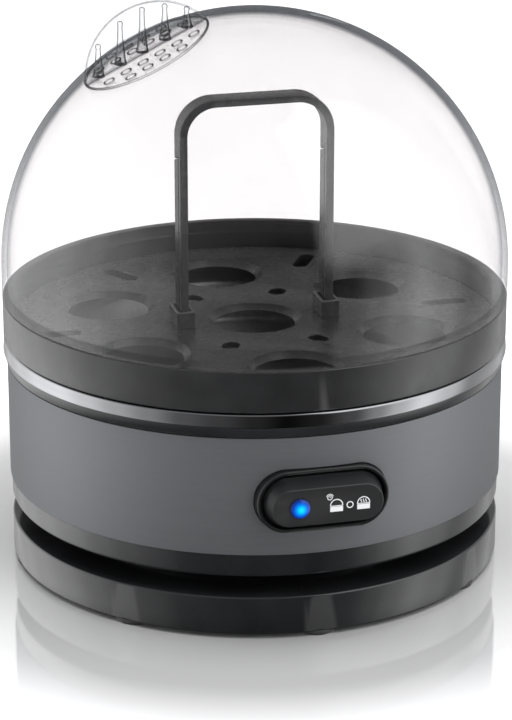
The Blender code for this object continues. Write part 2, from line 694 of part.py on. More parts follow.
def make_element():
    pts = []
    x, y, z = element_end(1)
    pts += [(x, y, Z_ELEMENT - 13.0), (x, y, Z_ELEMENT - 4.0)]
    pts += [polar(ELEMENT_R, 110.0, Z_ELEMENT - 1.2), polar(ELEMENT_R, 114.0, Z_ELEMENT)]
    pts += [polar(ELEMENT_R, 114.0 + 312.0 * i / 24, Z_ELEMENT) for i in range(1, 25)]
    pts.append(polar(ELEMENT_R, 430.0, Z_ELEMENT - 1.2))
    x, y, z = element_end(-1)
    pts += [(x, y, Z_ELEMENT - 4.0), (x, y, Z_ELEMENT - 13.0)]
    return tube("heating_element", pts, ELEMENT_TUBE_R, ALLOY)


def make_clamp():
    """Cross-shaped plate that holds the ring element, thermostat and fuse to the dish."""
    high, low = Z_CLAMP, Z_CLAMP - CLAMP_T
    clamp = box("element_clamp", (-ELEMENT_R - 7, -6, low), (ELEMENT_R + 7, 6, high), ALLOY)
    bm = bmesh.new()
    add_box(bm, (-9, -32, low), (9, 28, high))
    join(clamp, finish_bmesh(bm, "clamp_arm", None, cutter=True))
    bm = bmesh.new()
    add_cyl(bm, (0, 0, low), 2.3, 2.3, 6, 16)
    add_cyl(bm, (0, -22, low), 6.2, 6.2, 6, 24)
    cut(clamp, finish_bmesh(bm, "clamp_holes", None, cutter=True))
    high = Z_CLAMP - CLAMP_T - GAP
    nut = cylinder("clamp_nut", (0, 0, high - 1.6), 4.0, 3.2, ZINC, 6)
    cut(nut, cylinder("nut_bore", (0, 0, high - 1.6), 2.3, 8, None, 16, cutter=True))


def make_thermostat():
    top = Z_DISH_UNDER - GAP
    step = Z_CLAMP + GAP
    profile = [(0.0, top), (7.4, top), (7.8, top - 0.4), (7.8, step), (5.8, step),
               (5.8, Z_CLAMP - 5.0), (0.0, Z_CLAMP - 5.0)]
    stat = turned("thermostat", profile, CREAM, steps=16)
    stat.location = (0.0, -22 * MM, 0.0)
    bm = bmesh.new()
    for side in (-1, 1):
        add_box(bm, (side * 3.5 - 0.5, -25, Z_CLAMP - 11.5), (side * 3.5 + 0.5, -19, Z_CLAMP - 4.5))
    join(stat, finish_bmesh(bm, "thermostat_tabs", None, cutter=True))
    profile = [(0.0, 8.0), (2.4, 8.0), (ELEMENT_TUBE_R, 7.0), (ELEMENT_TUBE_R, -7.0), (2.4, -8.0), (0.0, -8.0)]
    fuse = turned("thermal_fuse", profile, LEAD_WHITE, steps=16)
    fuse.rotation_euler = (0.0, math.radians(90), 0.0)
    fuse.location = (0.0, 22 * MM, Z_ELEMENT * MM)


# ---------------------------------------------------------------- control panel
Y_FACE = -BODY_R - CAP_PROUD
Y_PIVOT = -BODY_R + 6.0
Y_BODY = -BODY_R + 9.5
Y_REAR = -BODY_R + 23.0


def ring_sections(sizes, arc=8):
    return [[(u, y, v) for u, v in obround(l, h, arc)] for l, h, y in sizes]


def make_bezel():
    """Obround frame in the sleeve's window, flanged behind it, with two screw posts."""
    front = -BODY_R - 1.0
    inside = -BODY_R + 4.5
    bm = bmesh.new()
    obround_prism(bm, PANEL_L, PANEL_H, front, inside + 1.0, z=Z_PANEL, arc=10)
    bezel = finish_bmesh(bm, "switch_bezel", BLACK)
    bm = bmesh.new()
    obround_prism(bm, PANEL_L + 3.6, PANEL_H + 3.6, inside, inside + 1.2, z=Z_PANEL, arc=10)
    join(bezel, finish_bmesh(bm, "bezel_flange", None, cutter=True))
    bm = bmesh.new()
    for side in (-1, 1):
        x = side * (PANEL_L / 2 + 0.2)
        add_cyl(bm, (x, (inside + 0.6 + Y_REAR - 3.9) / 2, Z_PANEL), 2.4, 2.4,
                Y_REAR - 3.9 - inside - 0.6, 14, "Y")
    join(bezel, finish_bmesh(bm, "bezel_posts", None, cutter=True))
    bm = bmesh.new()
    obround_prism(bm, PANEL_L - 2.5, PANEL_H - 2.5, front - 1, inside + 3, z=Z_PANEL, arc=10)
    for side in (-1, 1):
        x = side * (PANEL_L / 2 + 0.2)
        add_cyl(bm, (x, Y_REAR - 7.0, Z_PANEL), 1.3, 1.3, 8.0, 10, "Y")
    cut(bezel, finish_bmesh(bm, "bezel_bore", None, cutter=True))
    return bezel


def make_rocker():
    """Three-position rocker with sloping sides; its origin is on the pivot."""
    face = Y_FACE - Y_PIVOT
    base = -BODY_R - 0.5 - Y_PIVOT
    back = -BODY_R + 3.0 - Y_PIVOT
    sizes = [(CAP_L - 0.5, CAP_H - 0.5, face), (CAP_L, CAP_H, face + 0.25),
             (PANEL_L - 4.2, PANEL_H - 4.0, base), (PANEL_L - 4.2, PANEL_H - 4.0, back)]
    bm = bmesh.new()
    loft(bm, ring_sections(sizes))
    rocker = finish_bmesh(bm, "rocker_cap", BLACK)
    bm = bmesh.new()
    add_box(bm, (-4.0, back - 1.0, -5.4), (4.0, 2.4, 5.4))
    join(rocker, finish_bmesh(bm, "rocker_hub", None, cutter=True))
    bm = bmesh.new()
    add_cyl(bm, (0, 0, 0), PIN_R + PIN_FIT, PIN_R + PIN_FIT, 20, 14)
    add_cyl(bm, (LED_X, (face + 1.4) / 2, 0), 2.4 + GAP, 2.4 + GAP, 5.4 - face, 16, "Y")
    cutter = finish_bmesh(bm, "rocker_bores", None, cutter=True)
    cut(rocker, cutter)
    for name in ("rocker_hub", "rocker_bores"):
        bpy.data.objects[name].location = (0.0, Y_PIVOT * MM, Z_PANEL * MM)
    rocker.location = (0.0, Y_PIVOT * MM, Z_PANEL * MM)
    return rocker


def make_lens(rocker):
    """Light pipe with a domed head; it rides in the rocker."""
    face = Y_FACE - Y_PIVOT
    back = -BODY_R + 3.0 - Y_PIVOT
    profile = [(0.0, 0.9), (1.2, 0.8), (2.3, 0.45), (3.1, -0.1), (3.1, -0.35), (2.4, -0.35),
               (2.4, face - back + 0.6), (0.0, face - back + 0.6)]
    shift = GAP + 0.35
    lens = turned("led_lens", [(r, z + shift) for r, z in profile], BLUE, steps=16)
    lens.rotation_euler = (math.radians(90), 0.0, 0.0)
    lens.location = (LED_X * MM, Y_FACE * MM, Z_PANEL * MM)
    return lens


def make_switch():
    """Switch block behind the rocker, with the ears that hold the pivot pin."""
    z = Z_PANEL
    body = box("switch_body", (LED_X + 4.2, Y_BODY, z - 8.3), (PANEL_L / 2 - 5.7, Y_REAR, z + 8.3), BLACK)
    bm = bmesh.new()
    for side in (-1, 1):
        zs = sorted((z + side * 5.8, z + side * 8.3))
        add_box(bm, (-4.0, Y_PIVOT - 2.4, zs[0]), (4.0, Y_BODY + 1.0, zs[1]))
    reach = PANEL_L / 2 + 3.0
    add_box(bm, (-reach, Y_REAR - 3.6, z - 3.5), (reach, Y_REAR - 1.2, z + 3.5))
    join(body, finish_bmesh(bm, "switch_ears", None, cutter=True))
    bm = bmesh.new()
    add_cyl(bm, (0, Y_PIVOT, z), PIN_R + PIN_FIT, PIN_R + PIN_FIT, 24, 14)
    for side in (-1, 1):
        add_cyl(bm, (side * (PANEL_L / 2 + 0.2), Y_REAR - 2.4, z), 1.3, 1.3, 8, 10, "Y")
    cut(body, finish_bmesh(bm, "switch_bores", None, cutter=True))
    cylinder("rocker_pin", (0, Y_PIVOT, z), PIN_R, 16.4, ZINC, 14)
    for k, side in enumerate((-1, 1)):
        profile = [(0.0, 1.6), (1.6, 1.6), (2.2, 0.9), (2.2, 0.0), (1.0, 0.0), (1.0, -7.5), (0.0, -7.5)]
        scr = turned("panel_screw_%d" % (k + 1), profile, ZINC, steps=8)
        scr.rotation_euler = (math.radians(-90), 0.0, 0.0)
        scr.location = (side * (PANEL_L / 2 + 0.2) * MM, (Y_REAR - 1.2 + GAP) * MM, z * MM)
    box("led_board", (LED_X - 6.8, Y_BODY - 1.0, z - 5.5), (LED_X + 3.6, Y_BODY + 0.6, z + 5.5), BOARD)
    profile = [(0.0, 3.4), (1.0, 3.1), (1.5, 2.4), (1.5, 0.0), (0.0, 0.0)]
    lamp = turned("led_lamp", profile, BLUE, steps=12)
    lamp.rotation_euler = (math.radians(90), 0.0, 0.0)
    lamp.location = (LED_X * MM, (Y_BODY - 1.0 - GAP) * MM, z * MM)


# ---------------------------------------------------------------- wiring
def make_cord_entry():
    inner = NECK_R - NECK_WALL
    bm = bmesh.new()
    obround_prism(bm, GLAND_L, GLAND_H, inner - 2.6, NECK_R + 1.0, z=Z_CORD)
    gland = finish_bmesh(bm, "cord_gland", RUBBER)
    bm = bmesh.new()
    obround_prism(bm, GLAND_L + 2.2, GROOVE_H - 0.7, NECK_R + GAP, NECK_R + 1.9, z=Z_CORD)
    obround_prism(bm, GLAND_L + 2.2, GROOVE_H - 0.7, inner - 3.0, inner - 0.9, z=Z_CORD)
    join(gland, finish_bmesh(bm, "gland_flanges", None, cutter=True))
    bm = bmesh.new()
    obround_prism(bm, GLAND_L - 2.2, GLAND_H - 1.0, inner - 6, NECK_R + 5, z=Z_CORD)
    cut(gland, finish_bmesh(bm, "gland_bore", None, cutter=True))
    y = NECK_R - 15.0
    low = Z_PAN_TOP + GAP
    clamp = box("cord_clamp", (-11.5, y - 2.8, low), (11.5, y + 2.8, low + 2.6), BLACK)
    bm = bmesh.new()
    for side in (-1, 1):
        add_cyl(bm, (side * 8.5, y, low + 1), SCREW_R + GAP, SCREW_R + GAP, 8, 12)
    cut(clamp, finish_bmesh(bm, "cord_clamp_holes", None, cutter=True))
    for k, side in enumerate((-1, 1)):
        profile = [(0.0, 1.7), (1.8, 1.7), (2.6, 1.0), (2.6, 0.0), (SCREW_R, 0.0), (SCREW_R, -5.5), (0.0, -5.5)]
        scr = turned("cord_screw_%d" % (k + 1), profile, ZINC, steps=8)
        scr.location = (side * 8.5 * MM, y * MM, (low + 2.6 + GAP) * MM)
    floor = Z_PAN + PAN_FLOOR + GAP
    block = box("terminal_block", (-12.0, 22.0, floor), (12.0, 33.0, floor + 9.5), CREAM)
    bm = bmesh.new()
    for x in (-8.0, 0.0, 8.0):
        add_cyl(bm, (x, 27.5, floor + 9.5), 2.0, 2.0, 5.0, 8)
        add_cyl(bm, (x, 22.0, floor + 4.2), 1.7, 1.7, 5.0, 8, "Y")
        add_cyl(bm, (x, 33.0, floor + 4.2), 1.7, 1.7, 5.0, 8, "Y")
    cut(block, finish_bmesh(bm, "terminal_holes", None, cutter=True))


def make_leads():
    port = Z_PAN + PAN_FLOOR + GAP + 4.2
    tab = Z_CLAMP - 11.5 - GAP
    pin = Z_ELEMENT - 13.0 - GAP
    rear = Y_REAR + GAP
    low = Z_SKIRT + 8.0
    ex, ey, ez = element_end(-1)
    lead = 1.1
    tube("lead_live", smooth_path([(-8, 23.0, port), (-8, 18, port), (-14, 2, low - 6),
                                   (-11, -28, low), (-3, rear + 9, (low + Z_PANEL) / 2),
                                   (1, rear + 2.5, Z_PANEL - 4), (1, rear, Z_PANEL - 4)]),
         lead, LEAD_BROWN)
    tube("lead_neutral", smooth_path([(0, 23.0, port), (0, 18.5, port), (1, 13, port + 9),
                                      (-7, 24, low), (ex * -1.05, ey - 5, pin - 8),
                                      (-ex, ey, pin - 3), (-ex, ey, pin)]), lead, LEAD_BLUE)
    tube("lead_switched", smooth_path([(11, rear, Z_PANEL), (11, rear + 2.5, Z_PANEL),
                                       (12, rear + 9, Z_PANEL - 5), (8, -32, tab - 5),
                                       (3.5, -22, tab - 3), (3.5, -22, tab)]), lead, LEAD_BROWN)
    tube("lead_fuse", smooth_path([(-3.5, -22, tab), (-3.5, -22, tab - 3), (-14, -12, tab - 5),
                                   (-26, 8, Z_CLAMP - 6), (-19, 22, Z_ELEMENT - 2),
                                   (-11, 22, Z_ELEMENT), (-8 - GAP, 22, Z_ELEMENT)]), lead, LEAD_WHITE)
    tube("lead_element", smooth_path([(8 + GAP, 22, Z_ELEMENT), (11, 22, Z_ELEMENT),
                                      (16, 27, Z_ELEMENT - 8), (ex * 1.1, ey - 4, pin - 6),
                                      (ex, ey, pin - 3), (ex, ey, pin)]), lead, LEAD_WHITE)
    board = Y_BODY + 0.6 + GAP
    bx, by, bz = buzzer_spot()
    tube("lead_buzzer", smooth_path([(-11, board, Z_PANEL - 3), (-11, board + 2.5, Z_PANEL - 3),
                                     (-13, board + 6, Z_PANEL - 5),
                                     (bx + 9, by + 6, bz + 16), (bx + 1.5, by + 1, bz + 13),
                                     (bx, by, bz + 10),
                                     (bx, by, bz + 7.2 + GAP)]), lead, LEAD_BLUE)


def buzzer_spot():
    return polar((NECK_R + BODY_R) / 2 - 2.0, 237.0, Z_SKIRT + SHELF + GAP)


def make_buzzer():
    x, y, z = buzzer_spot()
    profile = [(0.0, 7.2), (6.0, 7.2), (6.4, 6.8), (6.4, 0.0), (0.0, 0.0)]
    buzzer = turned("buzzer", profile, BLACK, steps=20)
    buzzer.location = (x * MM, y * MM, z * MM)


def make_screws():
    seat = Z_TRIM - 14.0 - GAP - 9.7
    for k, a in enumerate(POST_AZ):
        screw("body_screw_%d" % (k + 1), polar(POST_PCR, a), seat - GAP - 2.0, 2.6, 2.0, 19.0)
    for k, a in enumerate(BOSS_AZ):
        screw("base_screw_%d" % (k + 1), polar(BOSS_PCR, a), Z_PAN + 4.8 - GAP - 2.0, 2.7, 2.0, 14.5)


def build():
    make_lid()
    make_rack()
    make_handle()
    make_trim()
    make_sleeve()
    make_lower_housing()
    make_pan()
    make_feet()
    make_dish()
    make_seal()
    make_element()
    make_clamp()
    make_thermostat()
    make_bezel()
    rocker = make_rocker()
    make_lens(rocker)
    make_switch()
    make_cord_entry()
    make_leads()
    make_buzzer()
    make_screws()


build()
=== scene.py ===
import bpy
import bmesh
import math
from mathutils import Matrix, Vector


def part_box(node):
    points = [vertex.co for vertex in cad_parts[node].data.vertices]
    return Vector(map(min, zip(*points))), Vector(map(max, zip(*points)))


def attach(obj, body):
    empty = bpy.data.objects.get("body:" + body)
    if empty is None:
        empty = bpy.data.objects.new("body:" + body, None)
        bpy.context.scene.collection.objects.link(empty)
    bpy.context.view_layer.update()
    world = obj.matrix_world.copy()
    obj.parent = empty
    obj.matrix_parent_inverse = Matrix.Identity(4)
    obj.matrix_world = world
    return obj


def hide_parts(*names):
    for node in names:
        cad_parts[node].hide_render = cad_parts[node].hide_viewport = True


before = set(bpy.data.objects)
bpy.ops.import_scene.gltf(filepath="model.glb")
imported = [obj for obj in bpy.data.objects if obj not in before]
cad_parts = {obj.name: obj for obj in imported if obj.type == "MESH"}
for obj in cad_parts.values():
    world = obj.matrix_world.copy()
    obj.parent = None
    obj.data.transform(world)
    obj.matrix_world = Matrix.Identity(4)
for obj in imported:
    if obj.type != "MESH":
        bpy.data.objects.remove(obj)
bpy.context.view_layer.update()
mm = 0.001
print("frame loaded:", len(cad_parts), "solids")

# Camera, studio and floor
studio = {
    "cameraTurn": -14.9,  # degrees round the object, 0 is the panel seen square on
    "cameraReach": 875.4,  # mm from the axis, level
    "cameraHeight": 369.0,
    "aimHeight": 62.6,
    "lens": 142.7,
    "shift": 0.0019,
    "wallGlow": 3.0,  # strength of the brightest light panel
    "stripGlow": 0.34,  # the low bright strip behind, mirrored by the floor
    "boxGlow": 0.75,  # the soft box high on the right, mirrored by the lid
    "backdrop": 1.0,
    "floorColour": (0.93, 0.93, 0.935, 1),
    "floorRoughness": 0.06,
    "floorPolish": 0.6,  # mirror share near the cooker, fading outward
}
# Light panels round the object: degrees from the camera, share of the brightest panel
panels = [
    (-180, 0.08), (-160, 0.2), (-144, 0.4), (-128, 0.62), (-112, 0.85), (-96, 0.9), (-80, 0.66), (-64, 0.42),
    (-48, 0.24), (-32, 0.09), (-16, 0.05), (0, 0.02), (14, 0.004), (28, 0.014), (44, 0.07), (56, 0.25),
    (66, 0.5), (80, 0.8), (96, 0.55), (112, 0.24), (128, 0.28), (144, 0.3), (160, 0.15), (180, 0.08),
]


def mathNode(tree, operation, first, second=None, clamp=False):
    node = tree.nodes.new("ShaderNodeMath")
    node.operation = operation
    node.use_clamp = clamp
    for socket, value in zip(node.inputs, (first, second)):
        if value is None:
            continue
        if isinstance(value, (int, float)):
            socket.default_value = value
        else:
            tree.links.new(value, socket)
    return node.outputs[0]


def rampNode(tree, source, stops, interpolation="LINEAR"):
    node = tree.nodes.new("ShaderNodeValToRGB")
    node.color_ramp.interpolation = interpolation
    elements = node.color_ramp.elements
    while len(elements) < len(stops):
        elements.new(0.5)
    for element, (position, colour) in zip(elements, stops):
        element.position = position
        element.color = (colour, colour, colour, 1) if isinstance(colour, float) else (*colour, 1)
    tree.links.new(source, node.inputs[0])
    return node.outputs[0]


def mixColour(tree, share, first, second, blend="MIX"):
    node = tree.nodes.new("ShaderNodeMix")
    node.data_type = "RGBA"
    node.blend_type = blend
    for socket, value in ((node.inputs[0], share), (node.inputs["A"], first), (node.inputs["B"], second)):
        if isinstance(value, (tuple, list)):
            socket.default_value = (*value, 1)
        elif isinstance(value, (int, float)):
            socket.default_value = value
        else:
            tree.links.new(value, socket)
    return node.outputs["Result"]


def makeCamera():
    turn = math.radians(studio["cameraTurn"])
    reach = studio["cameraReach"]
    spot = Vector((math.sin(turn) * reach, -math.cos(turn) * reach, studio["cameraHeight"])) * mm
    data = bpy.data.cameras.new("camera")
    data.lens = studio["lens"]
    data.shift_x = studio["shift"]
    data.clip_start = 0.05
    camera = bpy.data.objects.new("camera", data)
    bpy.context.scene.collection.objects.link(camera)
    camera.location = spot
    camera.rotation_euler = (Vector((0, 0, studio["aimHeight"] * mm)) - spot).to_track_quat("-Z", "Y").to_euler()
    bpy.context.scene.camera = camera


def makeStudio():
    scene = bpy.context.scene
    scene.view_settings.view_transform = "Standard"
    world = bpy.data.worlds.new("studio")
    scene.world = world
    world.use_nodes = True
    tree = world.node_tree
    tree.nodes.clear()
    link = tree.links.new
    direction = tree.nodes.new("ShaderNodeTexCoord").outputs["Generated"]
    split = tree.nodes.new("ShaderNodeSeparateXYZ")
    link(direction, split.inputs[0])
    away = mathNode(tree, "MULTIPLY", split.outputs["Y"], -1)
    angle = mathNode(tree, "ARCTAN2", split.outputs["X"], away)
    turned = mathNode(tree, "SUBTRACT", angle, math.radians(studio["cameraTurn"]))
    share = mathNode(tree, "FRACT", mathNode(tree, "ADD", mathNode(tree, "DIVIDE", turned, math.tau), 0.5))
    wall = rampNode(tree, share, [(a / 360 + 0.5, v) for a, v in panels], "EASE")
    height = split.outputs["Z"]
    ceiling = rampNode(tree, height, [(0.0, 0.0), (0.35, 0.0), (0.75, 1.0)])
    pit = rampNode(tree, mathNode(tree, "ADD", height, 1), [(0.25, 0.06), (0.55, 1.0)])
    behind = rampNode(tree, share, [(0.0, 1.0), (0.04, 1.0), (0.06, 0.0), (0.94, 0.0), (0.96, 1.0), (1.0, 1.0)])
    strip = rampNode(tree, height, [(0.39, 0.0), (0.42, 1.0), (0.58, 1.0), (0.64, 0.0)])
    backed = mixColour(tree, mathNode(tree, "MULTIPLY", behind, strip), wall, (studio["stripGlow"],) * 3)
    lit = mixColour(tree, ceiling, backed, (0.15, 0.15, 0.155))
    boxSides = ((28, 0.0), (40, 1.0), (92, 1.0), (118, 0.0))  # degrees from the camera
    boxWide = rampNode(tree, share, [(a / 360 + 0.5, v) for a, v in boxSides])
    boxTall = rampNode(tree, height, [(0.12, 0.0), (0.3, 1.0), (0.955, 1.0), (0.975, 0.0)])
    boxed = mixColour(tree, mathNode(tree, "MULTIPLY", boxWide, boxTall), lit, (studio["boxGlow"],) * 3)
    dimmed = mixColour(tree, 1, boxed, pit, "MULTIPLY")
    glow = tree.nodes.new("ShaderNodeBackground")
    glow.inputs["Strength"].default_value = studio["wallGlow"]
    link(dimmed, glow.inputs["Color"])
    plain = tree.nodes.new("ShaderNodeBackground")
    plain.inputs["Color"].default_value = (0.985, 0.985, 0.985, 1)
    plain.inputs["Strength"].default_value = studio["backdrop"]
    choice = tree.nodes.new("ShaderNodeMixShader")
    link(tree.nodes.new("ShaderNodeLightPath").outputs["Is Camera Ray"], choice.inputs[0])
    link(glow.outputs[0], choice.inputs[1])
    link(plain.outputs[0], choice.inputs[2])
    out = tree.nodes.new("ShaderNodeOutputWorld")
    link(choice.outputs[0], out.inputs["Surface"])


def makeLamp(name, size, watts, spot, aim):
    data = bpy.data.lights.new(name, "AREA")
    data.shape = "RECTANGLE"
    data.size, data.size_y = size
    data.energy = watts
    lamp = bpy.data.objects.new(name, data)
    bpy.context.scene.collection.objects.link(lamp)
    lamp.location = spot
    lamp.rotation_euler = (Vector(aim) - Vector(spot)).to_track_quat("-Z", "Y").to_euler()
    lamp.visible_camera = False
    lamp.visible_glossy = False
    return lamp


def makeFloor():
    bm = bmesh.new()
    bmesh.ops.create_circle(bm, cap_ends=True, segments=96, radius=6)
    mesh = bpy.data.meshes.new("floor")
    bm.to_mesh(mesh)
    bm.free()
    floor = bpy.data.objects.new("floor", mesh)
    bpy.context.scene.collection.objects.link(floor)
    material = bpy.data.materials.new("paleFloor")
    material.use_nodes = True
    tree = material.node_tree
    shader = tree.nodes["Principled BSDF"]
    shader.inputs["Base Color"].default_value = studio["floorColour"]
    shader.inputs["Roughness"].default_value = 0.6
    mirror = tree.nodes.new("ShaderNodeBsdfGlossy")
    mirror.inputs["Roughness"].default_value = studio["floorRoughness"]
    reach = tree.nodes.new("ShaderNodeVectorMath")
    reach.operation = "LENGTH"
    tree.links.new(tree.nodes.new("ShaderNodeTexCoord").outputs["Object"], reach.inputs[0])
    share = studio["floorPolish"]
    polish = rampNode(tree, reach.outputs["Value"], [(0.0, share), (0.115, share), (0.165, 0.04)])
    mix = tree.nodes.new("ShaderNodeMixShader")
    tree.links.new(polish, mix.inputs[0])
    tree.links.new(shader.outputs[0], mix.inputs[1])
    tree.links.new(mirror.outputs[0], mix.inputs[2])
    tree.links.new(mix.outputs[0], tree.nodes["Material Output"].inputs["Surface"])
    mesh.materials.append(material)
    floor.visible_glossy = False


makeCamera()
makeStudio()
makeFloor()
makeLamp("overhead", (1.6, 1.6), 34, (0.1, 0.1, 1.6), (0, 0, 0.1))
print("camera, light and floor made")

# Finishes. Scales are counts to the metre. The edge value is a painted highlight: colour added along convex edges.
finishes = {
    "glossBlack": {"colour": (0.015, 0.0157, 0.0168), "rough": (0.1, 0.17),
                   "grain": 900, "bump": 0.02, "mottle": 0.25, "edge": 0.035},
    "rackBlack": {"colour": (0.017, 0.0175, 0.0182), "rough": (0.16, 0.26),
                  "grain": 1500, "bump": 0.05, "mottle": 0.3, "edge": 0.04},
    "rackMatt": {"colour": (0.016, 0.0165, 0.0172), "rough": (0.24, 0.3),
                 "grain": 1500, "bump": 0.03, "mottle": 0.15, "edge": 0.05, "level": 0.3},
    "panelBlack": {"colour": (0.0085, 0.009, 0.0098), "rough": (0.3, 0.38),
                   "grain": 4200, "bump": 0.03, "mottle": 0.12, "edge": 0.04, "level": 0.35},
    "rubber": {"colour": (0.02, 0.02, 0.02), "rough": (0.62, 0.85),
               "grain": 2600, "bump": 0.35, "mottle": 0.4, "edge": 0.05},
    "silicone": {"colour": (0.62, 0.63, 0.61), "rough": (0.5, 0.65),
                 "grain": 1800, "bump": 0.1, "mottle": 0.15, "edge": 0.0},
    "phenolic": {"colour": (0.5, 0.43, 0.31), "rough": (0.42, 0.6),
                 "grain": 700, "bump": 0.12, "mottle": 0.35, "edge": 0.05},
    "leadBrown": {"colour": (0.16, 0.06, 0.025), "rough": (0.4, 0.55),
                  "grain": 1600, "bump": 0.08, "mottle": 0.2, "edge": 0.0},
    "leadBlue": {"colour": (0.02, 0.07, 0.3), "rough": (0.4, 0.55),
                 "grain": 1600, "bump": 0.08, "mottle": 0.2, "edge": 0.0},
    "leadWhite": {"colour": (0.66, 0.66, 0.62), "rough": (0.45, 0.6),
                  "grain": 2400, "bump": 0.25, "mottle": 0.2, "edge": 0.0},
}


def startMaterial(name):
    material = bpy.data.materials.new(name)
    material.use_nodes = True
    tree = material.node_tree
    return material, tree, tree.nodes["Principled BSDF"]


def noiseNode(tree, scale, stretch=(1, 1, 1), detail=3.0):
    place = tree.nodes.new("ShaderNodeTexCoord").outputs["Object"]
    mapping = tree.nodes.new("ShaderNodeMapping")
    mapping.inputs["Scale"].default_value = stretch
    tree.links.new(place, mapping.inputs["Vector"])
    noise = tree.nodes.new("ShaderNodeTexNoise")
    noise.inputs["Scale"].default_value = scale
    noise.inputs["Detail"].default_value = detail
    tree.links.new(mapping.outputs[0], noise.inputs["Vector"])
    return noise.outputs["Fac"]


def spread(tree, source, low, high):
    node = tree.nodes.new("ShaderNodeMapRange")
    node.inputs["From Min"].default_value = 0.3
    node.inputs["From Max"].default_value = 0.7
    node.inputs["To Min"].default_value = low
    node.inputs["To Max"].default_value = high
    tree.links.new(source, node.inputs["Value"])
    return node.outputs[0]


def bumpNode(tree, source, strength, depth=0.0001):
    node = tree.nodes.new("ShaderNodeBump")
    node.inputs["Strength"].default_value = strength
    node.inputs["Distance"].default_value = depth
    tree.links.new(source, node.inputs["Height"])
    return node.outputs[0]


def mouldedFinish(name):
    values = finishes[name]
    material, tree, shader = startMaterial(name)
    colour = values["colour"]
    cloud = noiseNode(tree, values["grain"] * 0.06, detail=4)
    deep = tuple(c * (1 - values["mottle"]) for c in colour)
    pale = tuple(c * (1 + values["mottle"]) for c in colour)
    tone = mixColour(tree, spread(tree, cloud, 0, 1), deep, pale)
    if values["edge"]:  # painted highlight: convex edges are painted a little lighter, standing in for the light they catch
        corners = tree.nodes.new("ShaderNodeNewGeometry").outputs["Pointiness"]
        edge = rampNode(tree, corners, [(0.52, 0.0), (0.6, 1.0)])
        tone = mixColour(tree, edge, tone, tuple(c + values["edge"] for c in colour))
    tree.links.new(tone, shader.inputs["Base Color"])
    fine = noiseNode(tree, values["grain"], detail=2)
    wear = spread(tree, noiseNode(tree, values["grain"] * 0.15), *values["rough"])
    tree.links.new(wear, shader.inputs["Roughness"])
    tree.links.new(bumpNode(tree, fine, values["bump"]), shader.inputs["Normal"])
    shader.inputs["Specular IOR Level"].default_value = values.get("level", 0.5)
    return material


def metalFinish(name, colour, rough, streak, stretch, bump, metallic=1.0, tint=0.12, level=0.5, rim=1.0):
    material, tree, shader = startMaterial(name)
    lines = noiseNode(tree, streak, stretch, detail=5)
    cloud = noiseNode(tree, 22, detail=3)
    deep = tuple(c * (1 - tint) for c in colour)
    pale = tuple(min(1, c * (1 + tint)) for c in colour)
    tone = mixColour(tree, spread(tree, lines, 0, 1), deep, pale)
    tone = mixColour(tree, spread(tree, cloud, 0, 0.35), tone, tuple(c * 0.9 for c in colour))
    tree.links.new(tone, shader.inputs["Base Color"])
    tree.links.new(spread(tree, lines, *rough), shader.inputs["Roughness"])
    tree.links.new(bumpNode(tree, lines, bump, 0.00004), shader.inputs["Normal"])
    shader.inputs["Metallic"].default_value = metallic
    shader.inputs["Specular IOR Level"].default_value = level
    shader.inputs["Specular Tint"].default_value = (rim, rim, rim, 1)
    return material


def clearShellFinish(name, tint, edge, bounds, gloss, crown=None):
    # thin clear wall: see-through square on; where it turns edge on, its see-through colour fades to the edge
    # colour, a painted shade standing in for the dark refraction at the rim
    material, tree, shader = startMaterial(name)
    link = tree.links.new
    weight = tree.nodes.new("ShaderNodeLayerWeight")
    weight.inputs["Blend"].default_value = 0.5
    facing = weight.outputs["Facing"]
    paintedRimShade = rampNode(tree, facing, [(bounds[0], 0.0), (bounds[1], 1.0)])
    if crown:  # the painted rim shade is made stronger towards the crown
        rise = tree.nodes.new("ShaderNodeSeparateXYZ")
        link(tree.nodes.new("ShaderNodeTexCoord").outputs["Object"], rise.inputs[0])
        span = tree.nodes.new("ShaderNodeMapRange")
        for socket, value in zip(("From Min", "From Max", "To Min", "To Max"), crown):
            span.inputs[socket].default_value = value
        link(rise.outputs["Z"], span.inputs["Value"])
        paintedRimShade = mathNode(tree, "MULTIPLY", paintedRimShade, span.outputs[0])
    cloud = spread(tree, noiseNode(tree, 40, detail=2), 0.985, 1.0)
    clear = tree.nodes.new("ShaderNodeBsdfTransparent")
    link(mixColour(tree, 1.0, mixColour(tree, paintedRimShade, tint, edge), cloud, "MULTIPLY"), clear.inputs["Color"])
    mirror = tree.nodes.new("ShaderNodeBsdfGlossy")
    mirror.inputs["Color"].default_value = (0.95, 0.96, 0.97, 1)
    mirror.inputs["Roughness"].default_value = 0.04
    graze = mathNode(tree, "MULTIPLY", mathNode(tree, "POWER", facing, 5), gloss)
    mix = tree.nodes.new("ShaderNodeMixShader")
    link(mathNode(tree, "ADD", graze, 0.04), mix.inputs[0])
    link(clear.outputs[0], mix.inputs[1])
    link(mirror.outputs[0], mix.inputs[2])
    link(mix.outputs[0], tree.nodes["Material Output"].inputs["Surface"])
    tree.nodes.remove(shader)
    return material


